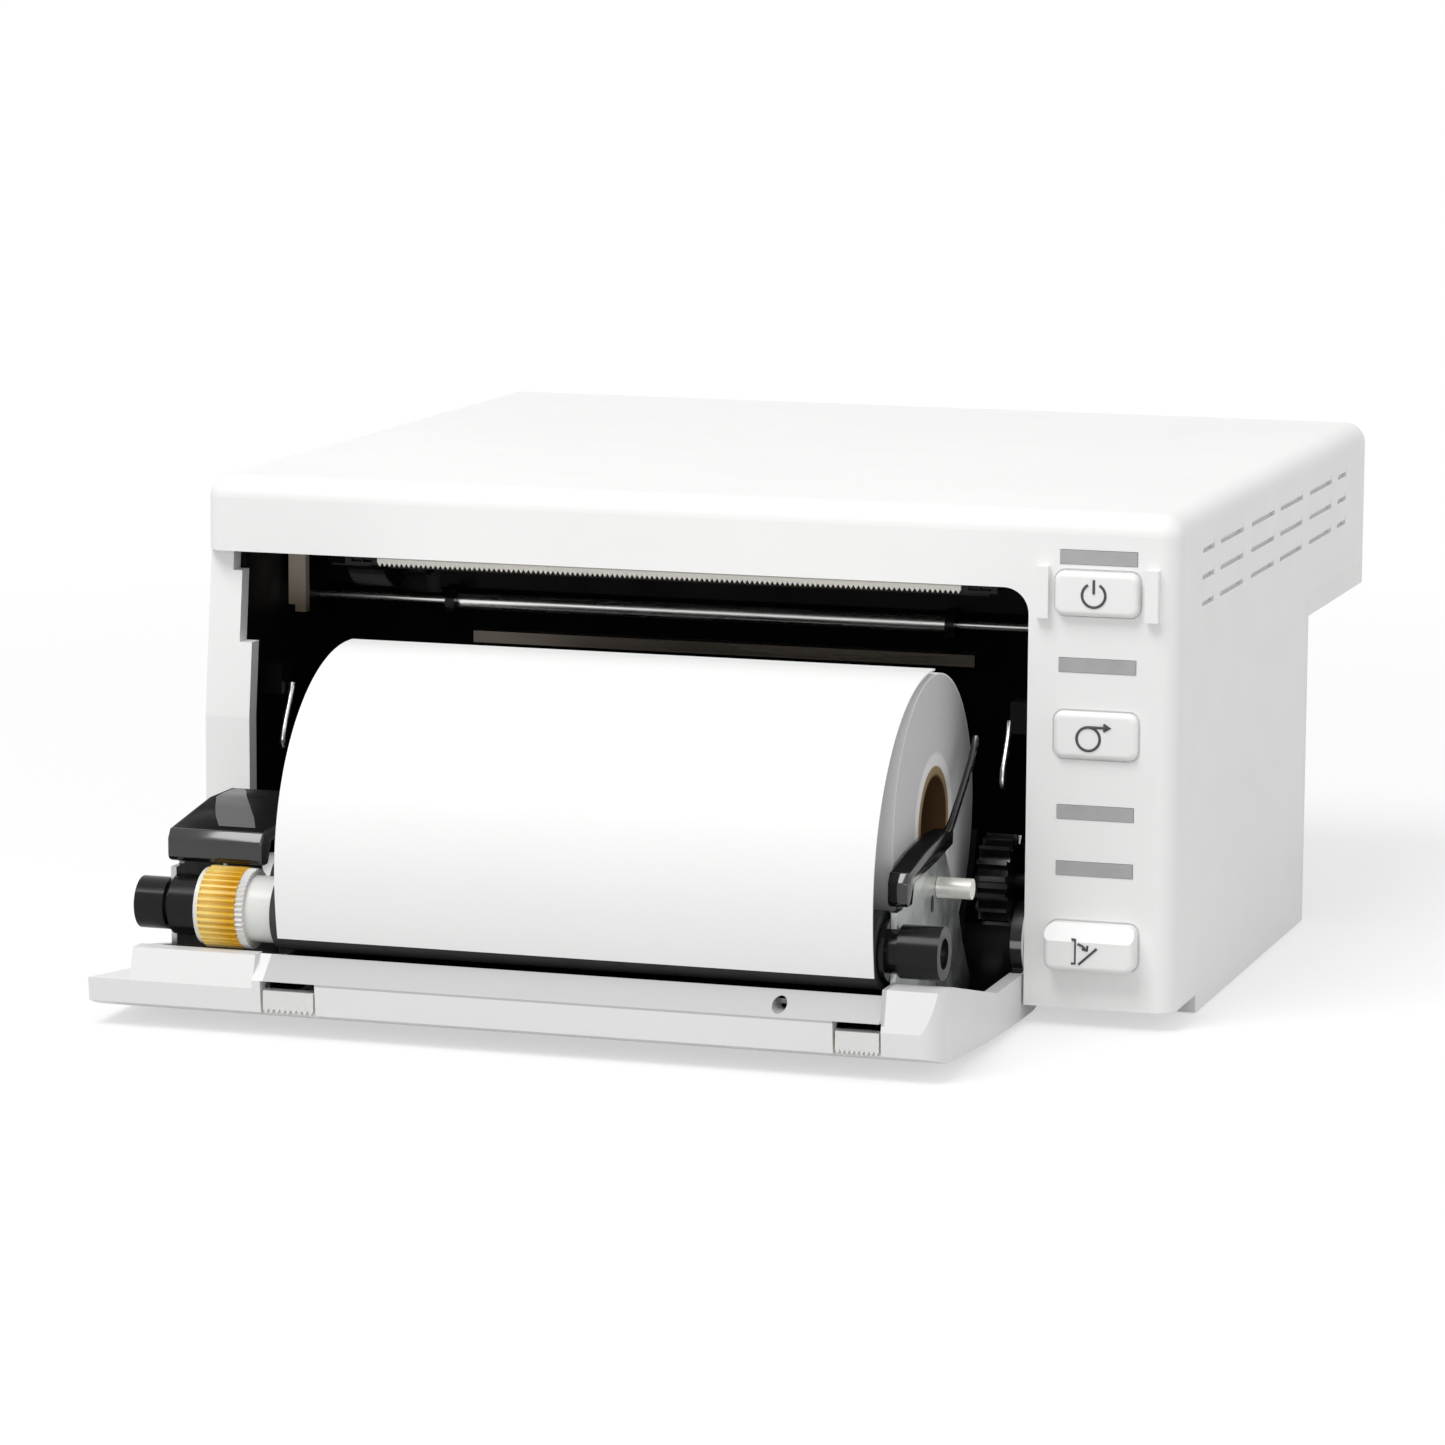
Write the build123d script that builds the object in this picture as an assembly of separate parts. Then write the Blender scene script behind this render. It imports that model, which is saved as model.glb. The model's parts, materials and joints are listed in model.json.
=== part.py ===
# Compact front-loading thermal printer for rolls up to 84 mm wide, stored with its door open.
# X runs across the front, Y runs from the front to the back, Z runs up from the table.
from build123d import *
from math import asin, atan2, cos, degrees, hypot, pi, radians, sin, sqrt
import os

os.makedirs("parts", exist_ok=True)

# Driving dimensions, in millimetres
paper_width = 83.0
roll_radius = 20.0
core_radius = 7.5
platen_radius = 5.2
wall = 2.5
knob_room = 5.1
gear_room = 2.6
panel_width = 20.7
lip_drop = 10.5
frame_back = 4.5
supply_room = 24.0
overhang_length = 40.0
overhang_height = 24.5
foot_proud = 0.2
hinge_depth = 6.0
hinge_height = 10.5
hinge_radius = 1.6
door_gap = 1.0
door_clear = 0.3
platen_drop = 8.5
platen_rise = 5.4
platen_ahead = 3.5
roll_lead = 17.0
cradle_floor = 8.9
rubber_out = 1.0
hub_long = 3.9
crown_wide = 1.1
platen_gear_wide = 6.0
collar_gap = 0.1
collar_wide = 4.2
plate_thick = 0.8
right_plate_out = 1.0
left_knob_long = 4.2
wide_gear_out = 2.0
wide_gear_wide = 4.3

# Clearances shared by the pieces
seat = 0.05
running = 0.05
air = 0.3
overrun = 5.0
compartment_air = 4.45

# Places that several pieces share: x, depth behind the front plane, height above the underside
roll_depth = hinge_depth - roll_lead
roll_height = cradle_floor + roll_radius
roll_reach = hypot(roll_lead, roll_height - hinge_height)
platen_depth = roll_depth - roll_radius - platen_ahead
platen_height = hinge_height + platen_rise
platen_reach = hypot(platen_depth - hinge_depth, platen_rise)
closed_platen_depth = hinge_depth + platen_rise
closed_platen_height = hinge_height + hinge_depth - platen_depth
compartment_reach = max(roll_reach + roll_radius, platen_reach + platen_radius) + compartment_air
frame_far = hinge_depth + compartment_reach + frame_back
lip_low = closed_platen_height + platen_drop
case_height = lip_low + lip_drop
overhang_low = case_height - overhang_height
overhang_start = frame_far + supply_room
case_depth = overhang_start + overhang_length
gear_room_left = rubber_out + hub_long + crown_wide + platen_gear_wide
left_plate_out = gear_room_left + collar_gap + collar_wide + plate_thick
left_room = left_plate_out + left_knob_long + knob_room
right_room = right_plate_out + wide_gear_out + wide_gear_wide + gear_room
case_width = left_room + paper_width + right_room + panel_width
front_y = -case_depth / 2
half_width = case_width / 2
paper_left = left_room - half_width
paper_right = paper_left + paper_width
opening_right = paper_right + right_room
door_front = hinge_depth + hinge_height - lip_low + door_gap
hub_radius = hinge_height - door_clear
door_pocket = hinge_depth + hub_radius + air
rubber_left = paper_left - rubber_out
hub_left = rubber_left - hub_long
crown_left = hub_left - crown_wide
gear_start = crown_left - platen_gear_wide
left_plate = paper_left - left_plate_out
right_plate = paper_right + right_plate_out


def yz(depth, height):
    return (front_y + depth, foot_proud + height)


def extrude_x(face, left, right):
    return extrude(Plane.YZ.offset(left) * face, amount=right - left, dir=(1, 0, 0))


def extrude_y(face, near, far):
    return extrude(Plane.XZ.offset(-front_y - near) * face, amount=far - near, dir=(0, 1, 0))


def polygon_x(points, left, right):
    return extrude_x(make_face(Polyline([yz(*point) for point in points], close=True)), left, right)


def polygon_y(points, near, far):
    corners = [(x, foot_proud + height) for x, height in points]
    return extrude_y(make_face(Polyline(corners, close=True)), near, far)


def slab(left, right, near, far, low, high):
    size = Box(right - left, far - near, high - low)
    middle = ((left + right) / 2, front_y + (near + far) / 2, foot_proud + (low + high) / 2)
    return Pos(*middle) * size


def rod_x(depth, height, radius, left, right):
    y, z = yz(depth, height)
    return Pos((left + right) / 2, y, z) * Rot(0, 90, 0) * Cylinder(radius, right - left)


def rod_y(x, height, radius, near, far):
    middle = (x, front_y + (near + far) / 2, foot_proud + height)
    return Pos(*middle) * Rot(90, 0, 0) * Cylinder(radius, far - near)


def post_z(x, depth, side, low, high):
    return slab(x - side / 2, x + side / 2, depth - side / 2, depth + side / 2, low, high)


def rod_z(x, depth, radius, low, high):
    middle = (x, front_y + depth, foot_proud + (low + high) / 2)
    return Pos(*middle) * Cylinder(radius, high - low)


def rounded_y(x, height, width, tall, corner, near, far):
    """A bar with rounded corners that runs from the front to the back."""
    return extrude_y(Pos(x, foot_proud + height) * RectangleRounded(width, tall, corner), near, far)


def pieces(first, others):
    whole = first
    for other in others:
        whole = whole + other
    return whole


def without(first, cuts):
    rest = first
    for cut in cuts:
        rest = rest - cut
    return rest


def gear_x(teeth, pitch_radius, tooth_height, depth, height, left, right, bore, turn, pointed=False):
    """A spur gear whose axis runs along X; turn is in tooth pitches."""
    tip = pitch_radius + tooth_height * tip_share
    root = pitch_radius - tooth_height * (1 - tip_share)
    y, z = yz(depth, height)
    corners = ((root, -root_share), (tip, -crest_share), (tip, crest_share), (root, root_share))
    if pointed:
        corners = ((root, -valley_share), (tip, 0))
    points = []
    for tooth in range(teeth):
        for radius, place in corners:
            angle = 2 * pi * (tooth + turn + place) / teeth
            points.append((y + radius * cos(angle), z + radius * sin(angle)))
    blank = extrude_x(make_face(Polyline(points, close=True)), left, right)
    return blank - rod_x(depth, height, bore, left - overrun, right + overrun)


tip_share = 0.48
root_share = 0.3
crest_share = 0.14
valley_share = 0.5


# Case cover: top, sides, lip over the door and the button panel in one shell
edge_round = 3.0
panel_foot = 2.5
base_start = 14.0
seam_rise = 3.5
seam_band = 2.0
opening_corner = 3.5
vent_rows = 3
vent_inset = 5.9
vent_top = case_height - vent_inset
vent_pitch = 3.65
vent_high = 1.3
vent_deep = 0.8
vent_shares = [(0.11, 0.167), (0.198, 0.314), (0.356, 0.478), (0.511, 0.634), (0.674, 0.802),
               (0.838, 0.888)]
button_shift = 0.75
button_x = opening_right + panel_width / 2 - button_shift
button_side = 4.55
button_width = panel_width - 2 * button_side
button_corner = 1.3
button_round = 0.8
button_gap = 0.25
power_inset = 10.8
power_height = case_height - power_inset
power_tall = 6.0
power_proud = 1.5
feed_share = 0.5714
feed_height = case_height * feed_share
feed_tall = 6.4
feed_proud = 0.9
open_height = 11.3
open_tall = 6.3
open_proud = 3.2
open_wider = 0.8
open_width = button_width + open_wider
lamp_narrower = 1.0
lamp_width = button_width - lamp_narrower
lamp_tall = 1.9
power_lamp_inset = 6.0
power_lamp_height = case_height - power_lamp_inset
print_lamp_share = 0.7057
print_lamp_height = case_height * print_lamp_share
paper_lamp_share = 0.42
paper_lamp_height = case_height * paper_lamp_share
alarm_lamp_height = 21.7
lamp_heights = {"power_lamp": power_lamp_height, "print_lamp": print_lamp_height,
                "paper_lamp": paper_lamp_height, "alarm_lamp": alarm_lamp_height}
guard_width = 1.8
guard_gap = 0.6
guard_proud = 1.3
guard_tall = 7.0
post_thick = 2.6
post_low_width = 6.6
post_mid_width = 4.75
post_top_width = 3.4
post_mid_drop = 13.0
post_mid_step = lip_low - post_mid_drop
post_top_drop = 3.0
post_top_step = lip_low - post_top_drop
post_lean_drop = 23.5
post_lean_start = lip_low - post_lean_drop
post_bend_drop = 16.5
post_lean_mid = lip_low - post_bend_drop
post_mid_lean = 0.8
post_top_lean = 2.75
board_depth = 9.0
board_thick = 1.6
boss_side = 2.4
board_boss_low = (paper_lamp_height + feed_height + (lamp_tall - feed_tall) / 2) / 2
board_boss_high = (print_lamp_height + feed_height - (lamp_tall - feed_tall) / 2) / 2
screw_inset = 12.0
screw_x = half_width - screw_inset
screw_room = 7.5
screw_near = door_pocket + screw_room
screw_back = 9.0
screw_far = overhang_start - screw_back
screw_places = [(screw_x, screw_near), (screw_x, screw_far), (-screw_x, screw_far)]
screw_boss = 6.8
screw_radius = 1.4
screw_head = 2.6
screw_head_high = 1.6
screw_long = 12.0
base_thick = 2.5


def button_hole(height, width, tall):
    return rounded_y(button_x, height, width + 2 * button_gap, tall + 2 * button_gap,
                     button_corner + button_gap, -overrun, wall + overrun)


def front_post():
    """The strip of side wall that the closed door's left flange lies on."""
    front = [(0, panel_foot), (0, post_lean_start), (post_mid_lean, post_lean_mid),
             (post_top_lean, lip_low)]
    back = [(depth + post_thick, height) for depth, height in reversed(front)]
    post = polygon_x(front + back, -half_width, -half_width + post_low_width)
    mid = -half_width + post_mid_width
    top = -half_width + post_top_width
    mid_cut = slab(mid, overrun - half_width + post_low_width, -overrun, overrun + post_thick,
                   post_mid_step, lip_low)
    top_cut = slab(top, overrun + mid, -overrun, overrun + post_thick, post_top_step, lip_low)
    return post - mid_cut - top_cut


def side_vents(side):
    slots = []
    outer = side * (half_width + overrun)
    inner = side * (half_width - vent_deep)
    for row in range(vent_rows):
        middle = vent_top - row * vent_pitch
        for near_share, far_share in vent_shares:
            near = near_share * case_depth
            far = far_share * case_depth
            low = middle - vent_high / 2
            slots.append(slab(min(outer, inner), max(outer, inner), near, far, low, low + vent_high))
    return slots


def case_block():
    """The outer form, with the edges round the top and the front corners rounded."""
    seam_high = overhang_low + seam_rise
    seam_depth = overhang_start - seam_band
    side = [(0, panel_foot), (0, case_height), (case_depth, case_height), (case_depth, seam_high),
            (seam_depth, seam_high), (seam_depth, 0), (base_start, 0), (base_start, panel_foot)]
    block = polygon_x(side, -half_width, half_width)
    top_z = foot_proud + case_height
    edges = [edge for edge in block.edges()
             if (abs(edge.center().Z - top_z) < seat and edge.center().Y < -seat)
             or (abs(edge.center().Z - top_z) < seat and abs(edge.center().X) > seat)
             or (abs(edge.center().Y - front_y) < seat and abs(edge.center().X) > half_width - seat)]
    return fillet(edges, edge_round)


def door_opening():
    corners = [(-half_width - overrun, -overrun), (opening_right, -overrun), (opening_right, lip_low),
               (-half_width - overrun, lip_low)]
    face = make_face(Polyline([(x, foot_proud + z) for x, z in corners], close=True))
    corner = face.vertices().sort_by_distance((opening_right, foot_proud + lip_low, 0))[0]
    return extrude_y(fillet(corner, opening_corner), -overrun, wall)


def front_lean():
    """What the left side wall's leaning front edge leaves out."""
    profile = [(-overrun, -overrun), (0, -overrun), (0, post_lean_start), (post_mid_lean, post_lean_mid),
               (post_top_lean, lip_low), (-overrun, lip_low)]
    return polygon_x(profile, -half_width - overrun, -half_width + wall)


def panel_holes():
    holes = [button_hole(power_height, button_width, power_tall),
             button_hole(feed_height, button_width, feed_tall),
             button_hole(open_height, open_width, open_tall)]
    for height in lamp_heights.values():
        holes.append(slab(button_x - lamp_width / 2 - seat, button_x + lamp_width / 2 + seat, -overrun,
                          wall + overrun, height - lamp_tall / 2 - seat, height + lamp_tall / 2 + seat))
    return holes


def power_guards():
    """Ribs that keep a finger from pressing the power button by chance."""
    guards = []
    inner = button_width / 2 + button_gap + guard_gap
    for side in (-1, 1):
        middle = button_x + side * (inner + guard_width / 2)
        guards.append(slab(middle - guard_width / 2, middle + guard_width / 2, -guard_proud, wall,
                           power_height - guard_tall / 2, power_height + guard_tall / 2))
    return guards


def make_cover():
    hollow = slab(-half_width + wall, half_width - wall, wall, case_depth + overrun, -overrun,
                  case_height - wall)
    shell = without(case_block() - hollow, [door_opening(), front_lean()]) + front_post()
    shell = without(shell, side_vents(1) + side_vents(-1) + panel_holes())
    shell = pieces(shell, power_guards())
    for height in (board_boss_low, board_boss_high):
        shell = shell + slab(button_x - boss_side / 2, button_x + boss_side / 2, wall, board_depth,
                             height - boss_side / 2, height + boss_side / 2)
    for x, depth in screw_places:
        shell = shell + post_z(x, depth, screw_boss, base_thick + seat, case_height - wall)
        shell = shell - rod_z(x, depth, screw_radius + seat, 0, case_height / 2)
    return shell


# Base: bottom plate, lower rear wall and the floor of the overhang
base_gap = 0.2
tongue_low = 3.0
tongue_thick = 1.6
overhang_floor = 2.0
pad_side = 10.0
pad_thick = 1.0
pad_inset = 14.0
pad_x = half_width - pad_inset
pad_room = 18.5
pad_near = door_pocket + pad_room
pad_back = 19.0
pad_far = overhang_start - pad_back
pad_places = [(side * pad_x, depth) for side in (-1, 1) for depth in (pad_near, pad_far)]
standoff_side = 5.0
standoff_tall = 3.5
main_board_height = overhang_low + overhang_floor + standoff_tall
main_board_room = 7.5
main_board_near = hinge_depth + compartment_reach + main_board_room
main_board_back = 7.0
main_board_far = case_depth - main_board_back
main_board_inset = 10.0
main_board_half = half_width - main_board_inset
standoff_inset = 4.0


def board_corners():
    return [(side * (main_board_half - standoff_inset), far)
            for side in (-1, 1)
            for far in (overhang_start + standoff_inset, main_board_far - standoff_inset)]


def make_base():
    half = half_width - wall - base_gap
    plate = slab(-half, half, door_pocket, overhang_start - seam_band, 0, base_thick)
    tongue = slab(frame_right + seat, half, wall + base_gap, door_pocket, tongue_low,
                  tongue_low + tongue_thick)
    riser = slab(frame_right + seat, half, door_pocket, door_pocket + base_thick, 0,
                 tongue_low + tongue_thick)
    rear = slab(-half_width, half_width, overhang_start - seam_band, overhang_start, 0,
                overhang_low + seam_rise)
    floor = slab(-half_width, half_width, overhang_start, case_depth, overhang_low,
                 overhang_low + seam_rise)
    tray = slab(-half, half, overhang_start - seam_band - overrun, case_depth - wall,
                overhang_low + overhang_floor, overhang_low + seam_rise + overrun)
    body = pieces(plate, [tongue, riser, rear, floor]) - tray
    body = body - slab(-half, half, case_depth - wall - overrun, case_depth + overrun,
                       overhang_low + overhang_floor, overhang_low + seam_rise + overrun)
    for x, depth in pad_places:
        body = body - post_z(x, depth, pad_side + 2 * seat, -overrun, pad_thick - foot_proud)
    for x, depth in screw_places:
        body = body - rod_z(x, depth, screw_radius + seat, -overrun, base_thick + overrun)
        body = body - rod_z(x, depth, screw_head + seat, -overrun, screw_head_high)
    for x, depth in board_corners():
        body = body + post_z(x, depth, standoff_side, overhang_low + overhang_floor, main_board_height)
    return body


def make_pads():
    pads = [post_z(x, depth, pad_side, -foot_proud, pad_thick - foot_proud - seat)
            for x, depth in pad_places]
    return Compound(children=pads)


def make_screws():
    screws = []
    for x, depth in screw_places:
        head = rod_z(x, depth, screw_head, seat, screw_head_high - seat)
        shank = rod_z(x, depth, screw_radius, seat, screw_long)
        screws.append(head + shank)
    return Compound(children=screws)


# Rear panel with the mains inlet and the data socket
panel_thick = 2.0
inlet_inset = 32.0
inlet_x = inlet_inset - half_width
inlet_wide = 27.0
inlet_margin = 7.0
inlet_tall = overhang_height - inlet_margin
inlet_deep = 20.0
inlet_wall = 1.6
inlet_floor = 3.0
inlet_pin_wide = 1.0
inlet_pin_tall = 2.0
inlet_pin_long = 11.0
inlet_pin_spread = 7.0
inlet_pin_rise = 2.0
usb_inset = 50.0
usb_x = half_width - usb_inset
usb_wide = 12.0
usb_tall = 11.0
usb_deep = 16.0
usb_wall = 0.8
usb_tongue = 3.2
rear_slots = 9
rear_slot_room = 22.0
rear_slot_x = inlet_x + rear_slot_room
rear_slot_pitch = 3.4
rear_slot_wide = 1.6
rear_slot_tall = 10.0
panel_low = overhang_low + overhang_floor
panel_high = case_height - wall
panel_middle = (panel_low + panel_high) / 2


def make_rear_panel():
    half = half_width - wall - base_gap
    far = case_depth - seat
    plate = slab(-half, half, far - panel_thick, far, panel_low + seat, panel_high - seat)
    cuts = [slab(inlet_x - inlet_wide / 2 - seat, inlet_x + inlet_wide / 2 + seat, far - overrun,
                 far + overrun, panel_middle - inlet_tall / 2 - seat,
                 panel_middle + inlet_tall / 2 + seat),
            slab(usb_x - usb_wide / 2 - seat, usb_x + usb_wide / 2 + seat, far - overrun, far + overrun,
                 panel_middle - usb_tall / 2 - seat, panel_middle + usb_tall / 2 + seat)]
    for slot in range(rear_slots):
        x = rear_slot_x + slot * rear_slot_pitch
        cuts.append(slab(x, x + rear_slot_wide, far - overrun, far + overrun,
                         panel_middle - rear_slot_tall / 2, panel_middle + rear_slot_tall / 2))
    return without(plate, cuts)


def make_inlet():
    far = case_depth - seat
    body = slab(inlet_x - inlet_wide / 2, inlet_x + inlet_wide / 2, far - inlet_deep, far,
                panel_middle - inlet_tall / 2, panel_middle + inlet_tall / 2)
    mouth = slab(inlet_x - inlet_wide / 2 + inlet_wall, inlet_x + inlet_wide / 2 - inlet_wall,
                 far - inlet_deep + inlet_floor, far + overrun, panel_middle - inlet_tall / 2 + inlet_wall,
                 panel_middle + inlet_tall / 2 - inlet_wall)
    body = body - mouth
    near = far - inlet_deep + inlet_floor
    for x, rise in ((-inlet_pin_spread, -inlet_pin_rise), (0, inlet_pin_rise),
                    (inlet_pin_spread, -inlet_pin_rise)):
        left = inlet_x + x - inlet_pin_wide / 2
        low = panel_middle + rise - inlet_pin_tall / 2
        body = body + slab(left, left + inlet_pin_wide, near, near + inlet_pin_long, low,
                           low + inlet_pin_tall)
    return body


def make_usb():
    far = case_depth - seat
    low = panel_middle - usb_tall / 2
    shell = slab(usb_x - usb_wide / 2, usb_x + usb_wide / 2, far - usb_deep, far, low, low + usb_tall)
    mouth = slab(usb_x - usb_wide / 2 + usb_wall, usb_x + usb_wide / 2 - usb_wall,
                 far - usb_deep + usb_wall, far + overrun, low + usb_wall, low + usb_tall - usb_wall)
    tongue = slab(usb_x - usb_tongue, usb_x + usb_tongue, far - usb_deep + usb_wall, far - usb_wall,
                  panel_middle - usb_tongue / 2, panel_middle + usb_tongue / 2)
    return shell - mouth + tongue


# Inner frame: black walls round the paper compartment
frame_wall = 1.3
frame_left = -half_width + wall + base_gap
frame_right = opening_right + air
compartment_left = frame_left + frame_wall
frame_thick = 1.5
frame_near = 5.6
frame_low = base_thick + base_gap
frame_high = case_height - wall - air
bar_drop = 17.3
bar_low = lip_low - bar_drop
bar_tall = 1.7
arc_end_angle = degrees(asin((bar_low + bar_tall - hinge_height) / compartment_reach))
bar_gap = 0.9
bar_deep = 2.9
bar_far = hinge_depth + compartment_reach * cos(radians(arc_end_angle)) - bar_gap
bar_near = bar_far - bar_deep
bar_room = 5.9
rod_depth = bar_near - bar_room
rod_room = 2.8
step_depth = rod_depth + rod_room
step_drop = 8.9
step_height = lip_low - step_drop
step_top_drop = 3.5
step_top = lip_low - step_top_drop
floor_gap = 0.5
frame_floor_start = door_pocket + floor_gap
train_inset = 0.3
gear_left = gear_start + train_inset
gear_right = crown_left - train_inset
gear_slot_air = 1.5
gear_slot_left = gear_left - gear_slot_air
gear_slot_right = gear_right + gear_slot_air
shelf_thick = 0.9
rib_inset = 5.7
rib_left = paper_right - rib_inset
rib_wide = 15.0
rib_angles = [12.0, 20.0, 28.0, 36.0]
rib_out = 1.2
rib_tall = 0.7
axle_radius = 1.0


def arc_point(radius, angle):
    return (hinge_depth + radius * cos(radians(angle)), hinge_height + radius * sin(radians(angle)))


def arc_wall(left, right, inner, thick, first, last):
    angles = (first, (first + last) / 2, last)
    inside = ThreePointArc(*[yz(*arc_point(inner, angle)) for angle in angles])
    outside = ThreePointArc(*[yz(*arc_point(inner + thick, angle)) for angle in angles])
    ends = [Line(inside @ 0, outside @ 0), Line(inside @ 1, outside @ 1)]
    return extrude_x(make_face([inside, outside] + ends), left, right)


def make_inner_frame():
    left_wall = slab(frame_left, compartment_left, frame_near, frame_far, frame_low, frame_high)
    right_wall = slab(frame_right, frame_right + frame_wall, wall + seat, frame_far,
                      tongue_low + tongue_thick + seat, frame_high)
    floor = slab(compartment_left, frame_right, frame_floor_start, frame_far, frame_low,
                 frame_low + frame_thick)
    rear = arc_wall(compartment_left, frame_right, compartment_reach, frame_thick, 0, arc_end_angle)
    foot = slab(compartment_left, frame_right, hinge_depth + compartment_reach,
                hinge_depth + compartment_reach + frame_thick, frame_low, hinge_height)
    top_in = arc_point(compartment_reach, arc_end_angle)
    top_out = arc_point(compartment_reach + frame_thick, arc_end_angle)
    slope = polygon_x([top_in, (step_depth, step_height), (step_depth, step_top),
                       (step_depth + shelf_thick, step_top),
                       (step_depth + shelf_thick, step_height + frame_thick), top_out],
                      compartment_left, frame_right)
    slot = slab(gear_slot_left, gear_slot_right, step_depth - overrun, step_depth + overrun,
                step_height - frame_thick, step_top + overrun)
    frame = pieces(left_wall, [right_wall, floor, rear, foot, slope - slot])
    for angle in rib_angles:
        rib = arc_wall(rib_left, rib_left + rib_wide, compartment_reach - rib_out, rib_out + seat,
                       angle, angle + rib_tall)
        frame = frame + rib
    spring_hold = spring_wire + seat
    for left, right in ((compartment_left, left_spring_x - spring_hold),
                        (right_spring_x + spring_hold, frame_right)):
        frame = frame + slab(left, right, spring_depth - spring_boss, spring_depth + spring_boss,
                             spring_height - spring_boss, spring_height + spring_boss)
    for depth, height in (drive_place, front_idler_place, rear_idler_place):
        frame = frame + rod_x(depth, height, axle_radius, compartment_left, gear_right + seat)
    frame = frame + rod_x(wide_gear_depth, wide_gear_height, axle_radius, wide_gear_left - seat,
                          frame_right)
    frame = frame + slab(motor_left, motor_left + motor_long, step_depth, motor_depth + motor_radius,
                         motor_height - motor_radius - air - shelf_thick, motor_height - motor_radius - air)
    cuts = [rod_x(hinge_depth, hinge_height, hinge_radius + seat, frame_left - overrun,
                  compartment_left + overrun),
            rod_x(hinge_depth, hinge_height, hinge_radius + seat, frame_right - overrun,
                  frame_right + frame_wall + overrun),
            rod_x(rod_depth, rod_height, thin_rod_radius + seat, frame_left - overrun,
                  compartment_left + overrun),
            rod_x(rod_depth, rod_height, thin_rod_radius + seat, frame_right - overrun,
                  frame_right + frame_wall + overrun)]
    return without(frame, cuts)


# Guide rod, its collars, the bar below it and the cream paper sensor post
rod_drop = 10.4
rod_height = lip_low - rod_drop
rod_radius = 1.15
thin_rod_radius = 0.6
rod_out = 0.8
rod_left = paper_left - rod_out
rod_in = 10.5
rod_right = paper_right - rod_in
collar_radius = 2.35
collar_long = 1.4
bar_thick = 0.7
bar_right_gap = 2.3
sensor_width = 2.6
sensor_near = 20.0
sensor_thick = 1.5
sensor_inset = 7.3
sensor_right = sensor_inset - half_width
sensor_drop = 11.1
sensor_low = lip_low - sensor_drop
sensor_rise = 1.5
sensor_high = lip_low + sensor_rise
sensor_tip = 1.0
sensor_tip_width = 1.6


def make_guide_rod():
    thin = rod_x(rod_depth, rod_height, thin_rod_radius, frame_left, frame_right + frame_wall)
    thick = rod_x(rod_depth, rod_height, rod_radius, rod_left, rod_right)
    return thin + thick


def make_collar(side):
    start = rod_left - collar_long - seat if side < 0 else rod_right + seat
    collar = rod_x(rod_depth, rod_height, collar_radius, start, start + collar_long)
    bore = rod_x(rod_depth, rod_height, thin_rod_radius + seat, start - overrun,
                 start + collar_long + overrun)
    return collar - bore


def make_guide_bar():
    left = rod_left
    right = rod_right + bar_right_gap
    top = slab(left, right, bar_near, bar_far, bar_low + bar_tall - bar_thick, bar_low + bar_tall)
    front = slab(left, right, bar_near, bar_near + bar_thick, bar_low, bar_low + bar_tall)
    tab_depth = bar_far + bar_gap - air
    tabs = [slab(end - bar_far + bar_near, end, bar_far, tab_depth, bar_low + bar_tall - bar_thick,
                 bar_low + bar_tall)
            for end in (left + bar_far - bar_near, right)]
    return pieces(top + front, tabs)


def make_sensor_post():
    post = slab(sensor_right - sensor_width, sensor_right, sensor_near, sensor_near + sensor_thick,
                sensor_low + sensor_tip, sensor_high)
    tip = slab(sensor_right - sensor_tip_width, sensor_right, sensor_near, sensor_near + sensor_thick,
               sensor_low, sensor_low + sensor_tip)
    arm = slab(compartment_left, sensor_right - sensor_width, sensor_near, sensor_near + sensor_thick,
               sensor_high - sensor_width, sensor_high)
    return pieces(post, [tip, arm])


# Catch springs that snap in front of the door's latch pins
spring_back = 7.1
spring_depth = hinge_depth + spring_back
spring_rise = 29.5
spring_height = hinge_height + spring_rise
spring_tip_back = 1.2
spring_tip_depth = hinge_depth + spring_tip_back
spring_tip_rise = 20.5
spring_tip_height = hinge_height + spring_tip_rise
spring_wire = 0.55
spring_sides = 8
spring_boss = 2.2
spring_bow = 0.5
left_spring_out = 1.5
left_spring_x = left_plate - left_spring_out
right_spring_out = 3.1
right_spring_x = right_plate + right_spring_out


def make_catch_spring(x):
    start = Vector(x, *yz(spring_depth, spring_height))
    tip = Vector(x, *yz(spring_tip_depth, spring_tip_height))
    lean = (spring_depth - spring_tip_depth) / (spring_height - spring_tip_height)
    middle = (start + tip) * 0.5 + Vector(0, -spring_bow, spring_bow * lean)
    path = ThreePointArc(start, middle, tip)
    section = Plane(origin=path @ 0, z_dir=path % 0) * RegularPolygon(spring_wire, spring_sides)
    eye = rod_x(spring_depth, spring_height, spring_boss - seat, x - spring_wire, x + spring_wire)
    return sweep(section, path=path) + eye


# Print head above the closed platen, its heat sink and the tear-off blade
head_gap = 0.6
head_low = closed_platen_height + platen_radius + head_gap
head_near = 8.5
head_far = 24.0
head_thick = 0.8
head_side = 2.2
heat_line_wide = 1.2
heat_line_high = 0.15
sink_far = 30.0
sink_base = 2.5
fin_pitch = 3.0
fin_gap = 1.4
blade_near = 5.0
blade_thick = 0.5
blade_out = 2.4
blade_left = paper_left - blade_out
blade_in = 0.9
blade_right = paper_right - blade_in
blade_drop = 1.9
blade_tip = lip_low - blade_drop
blade_tall = 6.0
blade_top = blade_tip + blade_tall
tooth_pitch = 0.72
tooth_high = 0.55
holder_drop = 1.2
holder_low = lip_low - holder_drop
holder_high = 5.7
holder_top = holder_low + holder_high
holder_deep = 2.6
tab_out = 5.0
tab_drop = 1.8
tab_low = lip_low - tab_drop
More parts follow.
